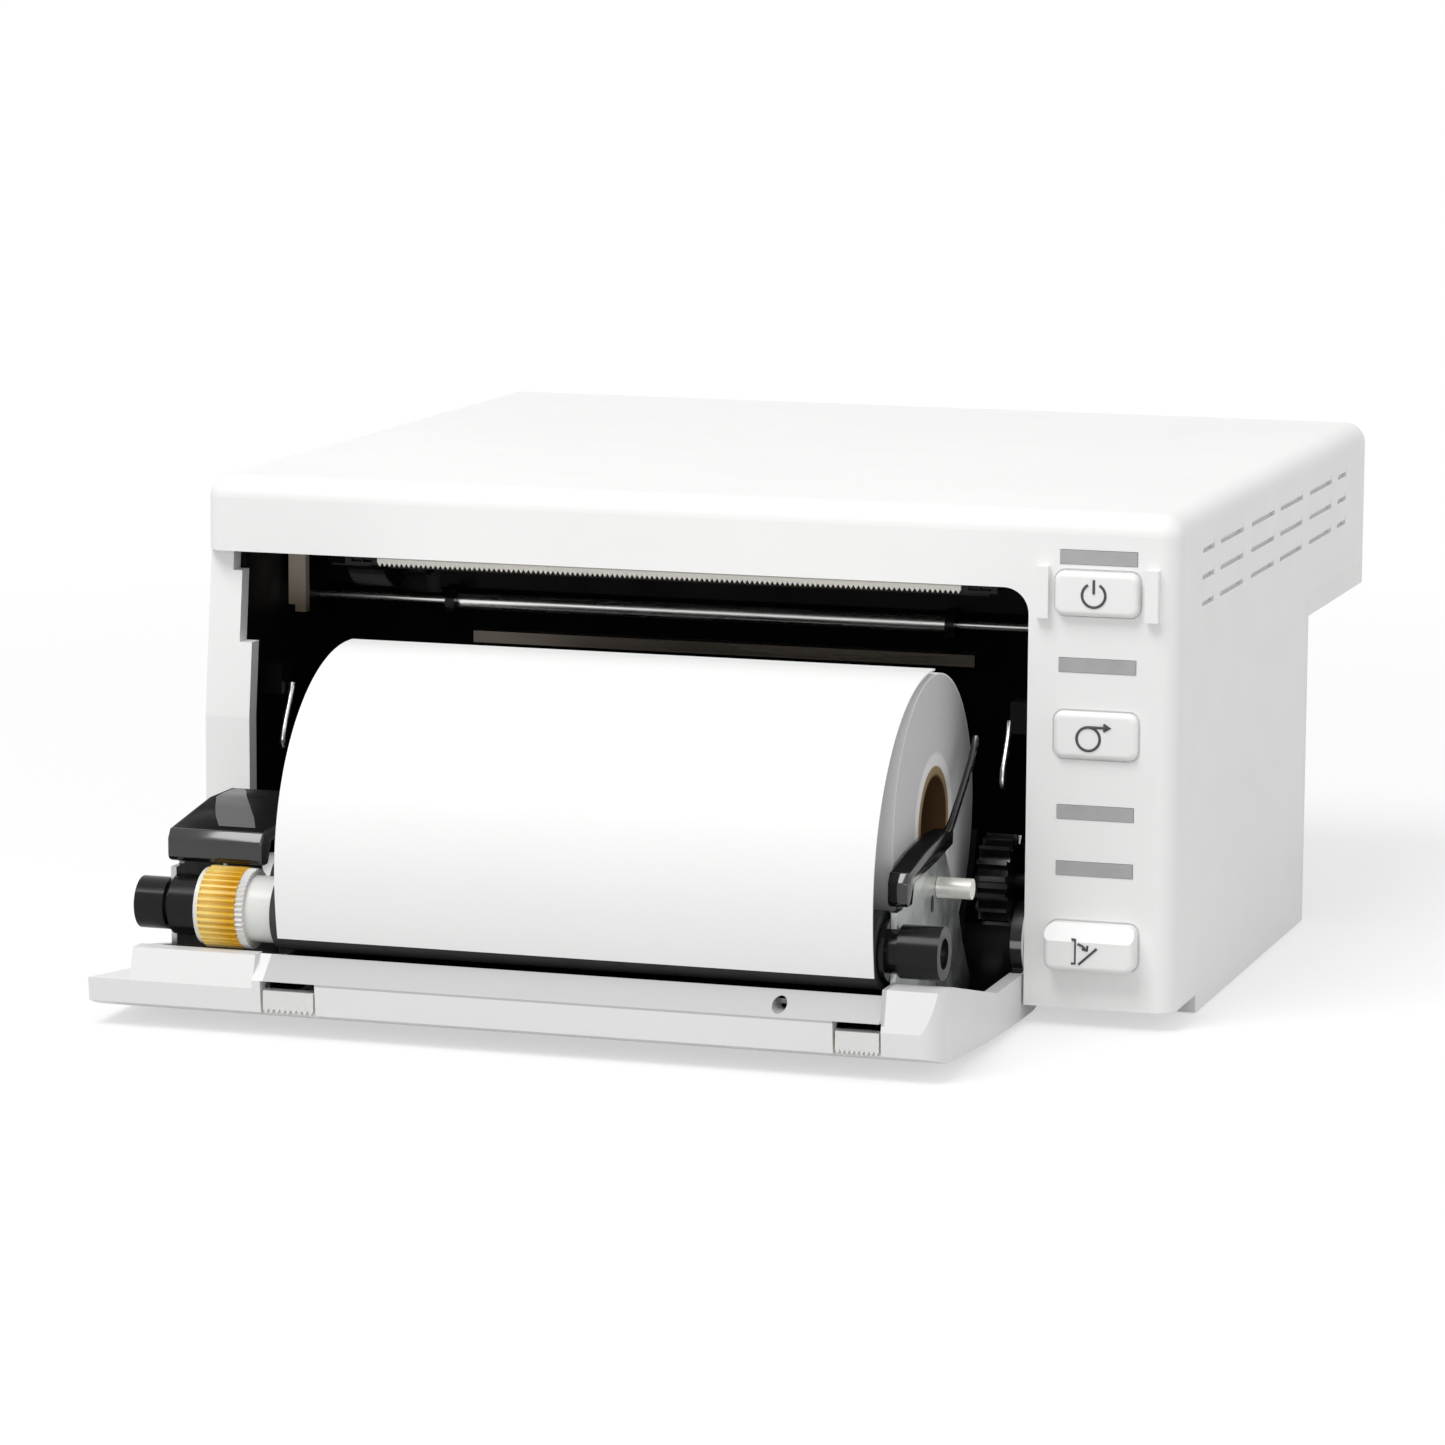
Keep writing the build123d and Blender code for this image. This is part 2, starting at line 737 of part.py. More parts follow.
tab_slots = 2
tab_slot_wide = 1.5
tab_slot_high = 0.7


def make_print_head():
    left = paper_left - head_side
    right = paper_right + head_side
    board = slab(left, right, head_near, head_far, head_low + heat_line_high, head_low + head_thick)
    line = slab(paper_left, paper_right, closed_platen_depth - heat_line_wide / 2,
                closed_platen_depth + heat_line_wide / 2, head_low, head_low + heat_line_high)
    return board + line


def make_heat_sink():
    left = paper_left - head_side
    right = paper_right + head_side
    low = head_low + head_thick + seat
    block = slab(left, right, head_near, sink_far, low, case_height - wall - air)
    count = int((sink_far - head_near - fin_gap) / fin_pitch)
    grooves = []
    for groove in range(count):
        near = head_near + fin_gap + groove * fin_pitch
        grooves.append(slab(left - overrun, right + overrun, near, near + fin_gap, low + sink_base,
                            case_height))
    return without(block, grooves)


def make_blade():
    count = int((blade_right - blade_left) / tooth_pitch)
    pitch = (blade_right - blade_left) / count
    points = [(blade_left, blade_top)]
    for tooth in range(count):
        points.append((blade_left + tooth * pitch, blade_tip + tooth_high))
        points.append((blade_left + (tooth + 0.5) * pitch, blade_tip))
    points += [(blade_right, blade_tip + tooth_high), (blade_right, blade_top)]
    return polygon_y(points, blade_near, blade_near + blade_thick)


def make_blade_holder():
    near = blade_near + blade_thick + seat
    bar = slab(blade_left - tab_out, blade_right + tab_out, near, near + holder_deep, holder_low,
               holder_top)
    tabs = []
    slots = []
    for left in (blade_left - tab_out, blade_right):
        tabs.append(slab(left, left + tab_out, near, near + blade_thick, tab_low, holder_low))
        for slot in range(tab_slots):
            middle = left + (slot + 1) * tab_out / (tab_slots + 1)
            low = tab_low + tab_slot_high / 2
            slots.append(slab(middle - tab_slot_wide / 2, middle + tab_slot_wide / 2, near - overrun,
                              near + blade_thick, low, low + tab_slot_high))
    return without(pieces(bar, tabs), slots)


# Gear train from the motor to the gear that meets the closed platen gear
gear_module = 0.2917
gear_tooth = 0.62
drive_teeth = 24
idler_teeth = 48
pinion_teeth = 12
platen_teeth = 36
mesh_gap = 0.12
drive_radius = drive_teeth * gear_module / 2
idler_radius = idler_teeth * gear_module / 2
pinion_radius = pinion_teeth * gear_module / 2
platen_gear_radius = platen_teeth * gear_module / 2
drive_stand_off = platen_gear_radius + drive_radius + gear_tooth
drive_lean = (closed_platen_depth - hinge_depth) / platen_reach
drive_rise = (closed_platen_height - hinge_height) / platen_reach
drive_place = (closed_platen_depth + drive_stand_off * drive_lean,
               closed_platen_height + drive_stand_off * drive_rise)
idler_height = case_height - wall - air - idler_radius - gear_tooth
first_step = drive_radius + idler_radius + mesh_gap
front_idler_place = (drive_place[0] + sqrt(first_step ** 2 - (drive_place[1] - idler_height) ** 2),
                     idler_height)
rear_idler_place = (front_idler_place[0] + 2 * idler_radius + mesh_gap, idler_height)
motor_depth = rear_idler_place[0] + idler_radius + pinion_radius + mesh_gap
motor_height = idler_height
motor_radius = 6.0
motor_gap = 1.0
motor_left = gear_right + motor_gap
motor_long = 19.0
motor_shaft = 0.7
wide_gear_lead = 0.5
wide_gear_depth = hinge_depth - wide_gear_lead
wide_gear_rise = 8.0
wide_gear_height = hinge_height + wide_gear_rise
wide_gear_teeth = 17
wide_gear_radius = 5.7
wide_gear_tooth = 1.3
wide_gear_left = right_plate + wide_gear_out
wide_gear_right = wide_gear_left + wide_gear_wide


def mesh_turn(own_teeth, other_teeth, other_turn, place, other_place):
    """Turns a gear so that its gap faces the other gear's tooth."""
    towards = atan2(other_place[1] - place[1], other_place[0] - place[0]) / (2 * pi)
    back = towards + 0.5
    other_phase = back * other_teeth - other_turn
    return towards * own_teeth + other_phase + 0.5


def make_train_gear(teeth, radius, place, bore, turn, pointed=False):
    return gear_x(teeth, radius, gear_tooth, place[0], place[1], gear_left, gear_right, bore, turn, pointed)


def make_motor():
    left = motor_left
    can = rod_x(motor_depth, motor_height, motor_radius, left, left + motor_long)
    shaft = rod_x(motor_depth, motor_height, motor_shaft, gear_left, left)
    return can + shaft


def make_wide_gear():
    return gear_x(wide_gear_teeth, wide_gear_radius, wide_gear_tooth, wide_gear_depth, wide_gear_height,
                  wide_gear_left, wide_gear_right, axle_radius + running, 0)


# Buttons, lamps and the board behind the panel
flange = 0.6
flange_thick = 1.0
stem_side = 3.0
press_travel = 1.0
stem_gap = 0.15
open_stem_end = 12.0
switch_side = 4.5
lamp_proud = 0.1
open_slope_share = 0.35


def button_body(height, width, tall, proud, stem_end):
    face = rounded_y(button_x, height, width, tall, button_corner, -proud, wall + seat)
    front = [edge for edge in face.edges() if abs(edge.center().Y - front_y + proud) < seat]
    face = fillet(front, button_round)
    rim = slab(button_x - width / 2 - flange, button_x + width / 2 + flange, wall + seat,
               wall + seat + flange_thick, height - tall / 2 - flange, height + tall / 2 + flange)
    stem = slab(button_x - stem_side / 2, button_x + stem_side / 2, wall + seat, stem_end,
                height - stem_side / 2, height + stem_side / 2)
    return pieces(face, [rim, stem])


def make_switch_button(height, tall, proud):
    stem_end = board_depth - switch_side / 2 - press_travel - stem_gap
    return button_body(height, button_width, tall, proud, stem_end)


def make_open_button():
    button = button_body(open_height, open_width, open_tall, open_proud, open_stem_end)
    top = open_height + open_tall / 2
    bend = top - open_tall * open_slope_share
    slope = polygon_x([(-open_proud - overrun, bend), (-open_proud, bend), (-wall / 2, top),
                       (-wall / 2, top + overrun), (-open_proud - overrun, top + overrun)],
                      button_x - open_width / 2 - overrun, button_x + open_width / 2 + overrun)
    return button - slope


def make_lamp(height):
    return slab(button_x - lamp_width / 2, button_x + lamp_width / 2, -lamp_proud, board_depth - seat,
                height - lamp_tall / 2, height + lamp_tall / 2)


def make_switch_board():
    low = lamp_heights["alarm_lamp"] - 2 * lamp_tall
    high = lamp_heights["power_lamp"] + lamp_tall
    left = opening_right + frame_wall + 3 * air
    board = slab(left, half_width - wall - air, board_depth, board_depth + board_thick, low, high)
    for height in (power_height, feed_height):
        switch = slab(button_x - switch_side / 2, button_x + switch_side / 2, board_depth - switch_side / 2,
                      board_depth, height - switch_side / 2, height + switch_side / 2)
        board = board + switch
    return board


# Boards inside the case
chip_side = 14.0
chip_shares = [(-0.5, 0.3), (0.0, 0.52), (0.5, 0.26)]
chip_high = 1.8
supply_air = 2.0
supply_near = frame_far + supply_air
supply_inset = 24.0
supply_half = half_width - supply_inset
supply_rise = 9.5
supply_low = base_thick + supply_rise
supply_drop = 3.5
supply_high = overhang_low - supply_drop
transformer_wide = 26.0
transformer_tall = 21.0
capacitor_radius = 6.0
capacitor_x = 26.0


def make_main_board():
    high = main_board_height + seat + board_thick
    board = slab(-main_board_half, main_board_half, main_board_near, main_board_far,
                 main_board_height + seat, high)
    for x_share, depth_share in chip_shares:
        left = x_share * main_board_half - chip_side / 2
        near = main_board_near + depth_share * (main_board_far - main_board_near) - chip_side / 2
        board = board + slab(left, left + chip_side, near, near + chip_side, high, high + chip_high)
    for x, depth in screw_places:
        board = board - post_z(x, depth, screw_boss + 2 * air, main_board_height - overrun, high + overrun)
    for x, wide, deep in ((inlet_x, inlet_wide, inlet_deep), (usb_x, usb_wide, usb_deep)):
        board = board - slab(x - wide / 2 - air, x + wide / 2 + air, case_depth - deep - 2 * air,
                             case_depth, main_board_height, high + chip_high)
    return board


def make_power_board():
    far = overhang_start - seam_band - air
    face = far - board_thick
    near = supply_near + frame_thick
    low = supply_low + frame_thick
    board = slab(-supply_half, supply_half, face, far, supply_low, supply_high)
    transformer = slab(-transformer_wide / 2, transformer_wide / 2, near, face, low,
                       low + transformer_tall)
    capacitor = rod_y(capacitor_x, (supply_low + supply_high) / 2, capacitor_radius, near, face)
    return pieces(board, [transformer, capacitor])


# Door cover, drawn open: skin, front strip, end blocks, cheeks and the left flange
cheek_thick = 1.9
cheek_air = 0.4
door_left = left_plate - cheek_thick - cheek_air
door_right = opening_right - air
door_thick = 2.0
door_crown = 2.3
strip_rise = 0.2
strip_top = hinge_height + strip_rise
strip_facet = 3.1
strip_mid = strip_top - strip_facet
door_lip_tall = 4.3
door_lip_low = strip_mid - door_lip_tall
door_lip_in = 0.4
strip_back = 3.4
strip_thick = 2.0
strip_out = 2.7
strip_left = paper_left - strip_out
strip_right_out = 1.5
strip_right = paper_right + strip_right_out
block_out = 1.0
block_left = door_left - block_out
block_rise = 0.1
block_top = strip_top + block_rise
block_deep = 4.0
block_back = door_front + block_deep
crease_drop = 1.1
block_crease = strip_mid - crease_drop
block_lean = 1.5
right_block_rise = 1.2
right_block_top = strip_top + right_block_rise
right_block_deep = 6.0
right_block_back = door_front + right_block_deep
cheek_low_lead = 19.0
cheek_low_depth = hinge_depth - cheek_low_lead
cheek_low_drop = 4.1
cheek_low_top = strip_top - cheek_low_drop
cheek_rise_lead = 4.0
cheek_rise_depth = hinge_depth - cheek_rise_lead
cheek_hub = 5.2
flange_mid_room = 15.0
flange_mid_depth = door_front + flange_mid_room
flange_mid_top = 4.9
flange_end_lead = 9.0
flange_end = hinge_depth - flange_end_lead
flange_end_top = 2.4
comb_recess_high = 3.7
comb_drop = 3.7
comb_recess_low = strip_mid - comb_drop
comb_recess_deep = 1.6
comb_window = 1.3
comb_left_in = 1.5
comb_left = strip_left + comb_left_in
comb_right_in = 6.0
comb_right = strip_right - comb_right_in
comb_wide = 7.2
comb_right_wide = 5.9
comb_teeth = 9
comb_tooth = 0.7
comb_thick = 1.2
key_hole_in = 12.4
key_hole_x = paper_right - key_hole_in
key_hole_drop = 1.7
key_hole_height = strip_top - key_hole_drop
key_hole_radius = 1.0
door_corner = 3.5


def crown_height(depth):
    share = (hinge_depth - depth) / (hinge_depth - door_front)
    return door_clear + door_crown * share ** 2


def skin_edge(lift, start):
    """The door's long curve from its front edge to below the hinge, lifted by lift."""
    middle = (start + hinge_depth) / 2
    return ThreePointArc(yz(start, crown_height(start) + lift), yz(middle, crown_height(middle) + lift),
                         yz(hinge_depth, door_clear + lift))


def hub_edge(radius):
    half = radius * cos(radians(45))
    return ThreePointArc(yz(hinge_depth, hinge_height - radius),
                         yz(hinge_depth + half, hinge_height - half),
                         yz(hinge_depth + radius, hinge_height))


def make_skin():
    nose = door_front + strip_back
    outer = skin_edge(0, nose)
    inner = skin_edge(door_thick, nose)
    round_out = hub_edge(hub_radius)
    round_in = hub_edge(hub_radius - door_thick)
    ends = [Line(outer @ 0, inner @ 0), Line(round_out @ 1, round_in @ 1)]
    lines = [outer, inner, round_out, round_in] + ends
    return extrude_x(make_face(lines), door_left, door_right)


def face_depth(height):
    """Depth of the door's lower front facet at a height."""
    share = (strip_mid - height) / (strip_mid - door_lip_low)
    return door_front + door_lip_in * share


def on_skin(points, left, right):
    """A block of the door whose underside is cut along the skin's long curve."""
    nose = door_front + strip_back
    edge = skin_edge(0, nose)
    lines = [edge, Polyline(edge @ 1, yz(hinge_depth + hub_radius, door_clear),
                            yz(hinge_depth + hub_radius, -2 * overrun), yz(nose - overrun, -2 * overrun),
                            yz(nose - overrun, crown_height(nose)), edge @ 0)]
    below = extrude_x(make_face(lines), left - overrun, right + overrun)
    return polygon_x(points, left, right) - below


def nose_points(crease):
    nose = door_front + strip_back
    return [(nose, -overrun), (nose, crown_height(nose)), (face_depth(door_lip_low), door_lip_low),
            (face_depth(crease), crease)]


def make_strip():
    nose = door_front + strip_back
    points = [(nose, crown_height(nose)), (face_depth(door_lip_low), door_lip_low),
              (door_front, strip_mid), (nose, strip_top), (nose + strip_thick, strip_top - strip_thick),
              (door_front + strip_thick, strip_mid - strip_thick / 2),
              (nose, crown_height(nose) + door_thick)]
    return polygon_x(points, strip_left, strip_right)


def make_block(left, right, top, back):
    points = nose_points(block_crease) + [(door_front + block_lean, top), (back, top), (back, -overrun)]
    return on_skin(points, left, right)


def make_cheek(left, right, top, back):
    points = nose_points(block_crease)
    points += [(door_front + block_lean, top), (back, top), (cheek_low_depth, cheek_low_top),
               (cheek_rise_depth, cheek_low_top), (hinge_depth, hinge_height), (hinge_depth, -overrun)]
    hub = rod_x(hinge_depth, hinge_height, cheek_hub, left, right)
    quarter = slab(left, right, hinge_depth, hinge_depth + hub_radius, door_clear, hinge_height)
    rounded = quarter & rod_x(hinge_depth, hinge_height, hub_radius, left, right)
    return pieces(on_skin(points, left, right), [hub, rounded])


def make_flange():
    points = nose_points(block_crease) + [(flange_mid_depth, flange_mid_top), (flange_end, flange_end_top),
                                          (flange_end, -overrun)]
    return on_skin(points, -half_width, door_left + seat)


def comb_cut(left, wide):
    """The comb's recess, with a window over the comb that opens into the strip."""
    high = comb_recess_low + comb_recess_high
    recess = slab(left - air, left + wide + air, door_front - overrun, door_front + comb_recess_deep,
                  comb_recess_low - overrun, high)
    window = slab(left - air, left + wide + air, door_front, door_front + strip_back,
                  high - comb_window, high)
    return recess + window


def make_door_cover():
    left_cheek = make_cheek(door_left, door_left + cheek_thick, block_top, block_back)
    right_cheek = make_cheek(door_right - cheek_thick, door_right, right_block_top, right_block_back)
    left_block = make_block(block_left, strip_left, block_top, block_back)
    right_block = make_block(strip_right, door_right, right_block_top, right_block_back)
    body = pieces(make_skin(), [make_strip(), left_block, right_block, left_cheek, right_cheek,
                                make_flange()])
    bore = rod_x(hinge_depth, hinge_height, hinge_radius + running, door_left - overrun,
                 door_right + overrun)
    corner = slab(door_right - door_corner, door_right + overrun, door_front - overrun,
                  door_front + door_corner, -overrun, right_block_top + overrun)
    corner = corner - rod_z(door_right - door_corner, door_front + door_corner, door_corner, -2 * overrun,
                            right_block_top + 2 * overrun)
    hole = rod_y(key_hole_x, key_hole_height, key_hole_radius, door_front - overrun, door_front + overrun)
    return without(body, [comb_cut(comb_left, comb_wide), comb_cut(comb_right, comb_right_wide), bore, hole,
                          corner])


def make_comb(left, wide):
    low = comb_recess_low
    high = comb_recess_low + comb_recess_high - comb_window
    near = door_front + comb_recess_deep - seat - comb_thick
    pitch = wide / comb_teeth
    points = [(left, high)]
    for tooth in range(comb_teeth):
        points.append((left + tooth * pitch, low))
        points.append((left + (tooth + 0.5) * pitch, low - comb_tooth))
    points += [(left + wide, low), (left + wide, high)]
    return polygon_y(points, near, near + comb_thick)


def make_hinge_pin(side):
    if side < 0:
        return rod_x(hinge_depth, hinge_height, hinge_radius, frame_left, door_left + cheek_thick)
    return rod_x(hinge_depth, hinge_height, hinge_radius, door_right - cheek_thick,
                 frame_right + frame_wall)


# Steel side plates, latch pins and the black holders on the door
plate_lead = 0.5
plate_front = platen_depth - plate_lead
plate_lip_rise = 5.1
plate_lip = platen_height + plate_lip_rise
plate_step_room = 2.3
plate_step = platen_depth + plate_step_room
plate_roof_room = 3.5
plate_roof_near = platen_depth + plate_roof_room
plate_roof_rise = 8.3
plate_roof_low = platen_height + plate_roof_rise
plate_mid_lead = 26.0
plate_roof_mid = hinge_depth - plate_mid_lead
plate_mid_rise = 14.7
plate_roof_middle = hinge_height + plate_mid_rise
plate_peak_lead = 18.2
plate_peak_depth = hinge_depth - plate_peak_lead
plate_peak_rise = 15.7
plate_peak = hinge_height + plate_peak_rise
plate_back_lead = 15.0
plate_back_depth = hinge_depth - plate_back_lead
plate_back_rise = 11.4
plate_back = hinge_height + plate_back_rise
plate_waist_lead = 10.6
plate_waist_depth = hinge_depth - plate_waist_lead
plate_waist_rise = 6.1
plate_waist = hinge_height + plate_waist_rise
plate_knee_lead = 8.3
plate_knee_depth = hinge_depth - plate_knee_lead
plate_knee_rise = 0.9
plate_knee = hinge_height + plate_knee_rise
plate_toe_lead = 3.9
plate_toe_depth = hinge_depth - plate_toe_lead
plate_toe_drop = 4.8
plate_toe = hinge_height - plate_toe_drop
plate_sag_room = 6.5
plate_sag_depth = platen_depth + plate_sag_room
bearing_neck = 2.9
plate_slot_lead = 23.7
plate_slot_depth = hinge_depth - plate_slot_lead
plate_slot_rise = 9.1
plate_slot_height = hinge_height + plate_slot_rise
plate_slot_radius = 0.7
plate_slot_tall = 1.6
pin_lead = 21.0
pin_depth = hinge_depth - pin_lead
pin_rise = 10.4
pin_height = hinge_height + pin_rise
pin_radius = 1.4
pin_long = 4.8
left_pin_long = 2.2
rivet = 0.8
right_holder_left = paper_right + air
right_holder_out = 1.9
right_holder_right = right_plate + right_holder_out
left_holder_out = 0.8
left_lip_tall = 1.9
left_holder_left = left_plate - left_holder_out
left_holder_in = 4.0
left_holder_right = paper_left - left_holder_in
holder_set = 0.4
holder_front = plate_front + holder_set
holder_lip_rise = 0.6
holder_lip = plate_lip + holder_lip_rise
holder_tall = 1.9
cheek_knee_lead = 14.5
cheek_knee_depth = hinge_depth - cheek_knee_lead
cheek_knee_rise = 18.7
cheek_knee = hinge_height + cheek_knee_rise
cheek_top_lead = 3.4
cheek_top_depth = hinge_depth - cheek_top_lead
cheek_top_rise = 27.5
cheek_top = hinge_height + cheek_top_rise
cheek_band = 1.6
left_holder_rise = 11.6
left_holder_low = hinge_height + left_holder_rise
left_holder_lead = 14.6
left_holder_back = hinge_depth - left_holder_lead


def make_side_plate(left):
    lower = [(depth, crown_height(depth) + door_thick + seat)
             for depth in (plate_toe_depth, plate_sag_depth)]
    outline = [(plate_front, crown_height(plate_front) + door_thick + seat), (plate_front, plate_lip),
               (plate_step, plate_lip), (plate_roof_near, plate_roof_low),
               (plate_roof_mid, plate_roof_middle), (plate_peak_depth, plate_peak),
               (plate_back_depth, plate_back), (plate_waist_depth, plate_waist),
               (plate_knee_depth, plate_knee), (plate_toe_depth, plate_toe)]
    plate = polygon_x(outline + lower, left, left + plate_thick)
    neck = rod_x(platen_depth, platen_height, bearing_neck + seat, left - overrun,
                 left + plate_thick + overrun)
    mouth = slab(left - overrun, left + plate_thick + overrun, plate_front - overrun, platen_depth,
                 platen_height - bearing_neck - seat, platen_height + bearing_neck + seat)
    slot = rod_x(plate_slot_depth, plate_slot_height, plate_slot_radius, left - overrun,
                 left + plate_thick + overrun)
    long_slot = slab(left - overrun, left + plate_thick + overrun, plate_slot_depth - plate_slot_radius,
                     plate_slot_depth + plate_slot_radius, plate_slot_height - plate_slot_tall,
                     plate_slot_height)
    pin_hole = rod_x(pin_depth, pin_height, rivet + seat, left - overrun, left + plate_thick + overrun)
    return without(plate, [neck, mouth, slot, long_slot, pin_hole])


def make_latch_pin(left, right, rivet_left, rivet_right):
    body = rod_x(pin_depth, pin_height, pin_radius, left, right)
    return body + rod_x(pin_depth, pin_height, rivet, rivet_left, rivet_right)


def make_right_holder():
    """Black cap along the right plate's roof, carried on as a thin cheek beside the roll."""
    outline = [(holder_front, holder_lip), (holder_front, plate_roof_low + holder_tall),
               (plate_peak_depth, plate_peak + holder_tall), (cheek_knee_depth, cheek_knee),
               (cheek_top_depth, cheek_top), (cheek_top_depth + cheek_band, cheek_top - cheek_band),
               (cheek_knee_depth + cheek_band, cheek_knee - holder_tall),
               (plate_peak_depth, plate_peak + seat), (plate_roof_mid, plate_roof_middle + seat),
               (plate_roof_near, plate_roof_low + seat),
               (plate_step - seat, holder_lip)]
    return polygon_x(outline, right_holder_left, right_holder_right)


def make_left_holder():
    """Black saddle that caps the left plate from its front lip over the peak and down its back."""
    outline = [(holder_front, holder_lip), (holder_front, plate_roof_low + left_lip_tall),
               (plate_roof_mid, plate_peak + holder_tall), (plate_peak_depth, plate_peak + holder_tall),
               (left_holder_back + holder_tall, left_holder_low), (left_holder_back, left_holder_low),
               (plate_peak_depth + air, plate_peak + air), (plate_roof_mid, plate_roof_middle + air),
               (plate_roof_near, plate_roof_low + seat), (plate_step - seat, holder_lip)]
    return polygon_x(outline, left_holder_left, left_holder_right)


# Black tray that cradles the roll
cradle_gap = 0.3
cradle_thick = 1.5
cradle_first = -135.0
cradle_last = -12.0
deck_drop = 1.5
deck_low = cradle_floor - deck_drop
deck_thick = 1.5
tray_out = 2.3
tray_left = paper_left - tray_out
tray_right_out = 0.8
tray_right = paper_right + tray_right_out
tray_ribs = 5
tray_rib_thick = 1.6
tray_rib_lead = 4.0
tray_rib_far = hinge_depth - tray_rib_lead
rib_rise_share = 0.77


def cradle_point(radius, angle):
    return yz(roll_depth + radius * cos(radians(angle)), roll_height + radius * sin(radians(angle)))


def make_cradle():
    inner = roll_radius + cradle_gap
    outer = inner + cradle_thick
    middle = (cradle_first + cradle_last) / 2
    inside = ThreePointArc(*[cradle_point(inner, angle) for angle in (cradle_first, middle, cradle_last)])
    outside = ThreePointArc(*[cradle_point(outer, angle) for angle in (cradle_first, middle, cradle_last)])
    ends = [Line(inside @ 0, outside @ 0), Line(inside @ 1, outside @ 1)]
    trough = extrude_x(make_face([inside, outside] + ends), tray_left, tray_right)
    deck_front = door_front + strip_back + strip_thick + air
    start = roll_depth + outer * cos(radians(cradle_first))
    deck = slab(tray_left, tray_right, deck_front, start + deck_thick, deck_low, deck_low + deck_thick)
    shelf_top = roll_height + outer * sin(radians(cradle_first))
    riser = slab(tray_left, tray_right, start, start + deck_thick, deck_low, shelf_top)
    floor = crown_height(deck_front) + door_thick + seat
    hull = [(deck_front, floor), (deck_front, deck_low + seat), (start + deck_thick, deck_low + seat),
            (start + deck_thick, shelf_top), (roll_depth, roll_height - outer + seat),
            (tray_rib_far, roll_height - outer * rib_rise_share), (tray_rib_far, floor)]
    body = pieces(trough, [deck, riser])
    span = tray_right - tray_left - tray_rib_thick
    hollow = rod_x(roll_depth, roll_height, inner, tray_left - overrun, tray_right + overrun)
    for rib in range(tray_ribs):
        left = tray_left + rib * span / (tray_ribs - 1)
        body = body + (polygon_x(hull, left, left + tray_rib_thick) - hollow)
    return body


# Platen roller with its gear, and the two black bearings it turns in
shaft_radius = 2.0
shaft_out = 2.3
shaft_left = left_plate - shaft_out
shaft_right_out = 6.3
shaft_right = right_plate + shaft_right_out
hub_turned = 4.5
crown_teeth = 48
crown_tooth = 0.4
gear_flange = 0.6
yellow_tooth = 0.6
bearing_knob = 3.55
left_knob_left = left_plate - left_knob_long
right_knob_gap = 1.5
right_knob_left = right_plate + right_knob_gap
right_knob_long = 5.6
right_knob_right = right_knob_left + right_knob_long
bearing_collar = 4.1
left_collar_right = gear_start - collar_gap


def make_shaft():
    return rod_x(platen_depth, platen_height, shaft_radius, shaft_left, shaft_right)


def make_rubber():
    sleeve = rod_x(platen_depth, platen_height, platen_radius, rubber_left, paper_right - seat)
    return sleeve - rod_x(platen_depth, platen_height, shaft_radius, rubber_left - overrun,
                          paper_right + overrun)


def make_gear_hub():
    """White moulding: end flange, fine-toothed crown and turned hub round the yellow ring."""
    sleeve_radius = platen_gear_radius - yellow_tooth - gear_flange
    disc = rod_x(platen_depth, platen_height, platen_gear_radius, gear_start, gear_start + gear_flange)
    core = rod_x(platen_depth, platen_height, sleeve_radius, gear_start, crown_left)
    crown = gear_x(crown_teeth, platen_gear_radius, crown_tooth, platen_depth, platen_height, crown_left,
                   hub_left, shaft_radius, 0, pointed=True)
    hub = rod_x(platen_depth, platen_height, hub_turned, hub_left, rubber_left - seat)
    bore = rod_x(platen_depth, platen_height, shaft_radius, gear_start - overrun, rubber_left + overrun)
    return pieces(disc, [core, hub]) - bore + crown


def make_yellow_gear():
    sleeve_radius = platen_gear_radius - yellow_tooth - gear_flange
    return gear_x(platen_teeth, platen_gear_radius, yellow_tooth, platen_depth, platen_height,
                  gear_start + gear_flange, crown_left, sleeve_radius, 0)


def make_bearing(knob_left, knob_right, collar_left, collar_right):
    """A spool: the knob outside the plate, the neck in its slot and the collar inside."""
    bore = shaft_radius + running
    low = min(knob_left, collar_left)
    high = max(knob_right, collar_right)
    knob = rod_x(platen_depth, platen_height, bearing_knob, knob_left, knob_right)
    neck = rod_x(platen_depth, platen_height, bearing_neck, low, high)
    collar = rod_x(platen_depth, platen_height, bearing_collar, collar_left, collar_right)
    hole = rod_x(platen_depth, platen_height, bore, low - overrun, high + overrun)
    return pieces(knob, [neck, collar]) - hole


# Paper roll on its brown core, and the loose end that hangs over the platen
core_thick = 1.3
core_gap = 0.05
tail_thick = 0.25
tail_bulge = 7.6
tail_radius = roll_radius + tail_bulge
tail_rise = 0.5
tail_hang = 2.9
tail_end = platen_height - tail_hang


def make_roll():
    body = rod_x(roll_depth, roll_height, roll_radius, paper_left, paper_right)
    return body - rod_x(roll_depth, roll_height, core_radius + core_gap, paper_left - overrun,
                        paper_right + overrun)


def make_core():
    body = rod_x(roll_depth, roll_height, core_radius, paper_left, paper_right)
    return body - rod_x(roll_depth, roll_height, core_radius - core_thick, paper_left - overrun,
                        paper_right + overrun)


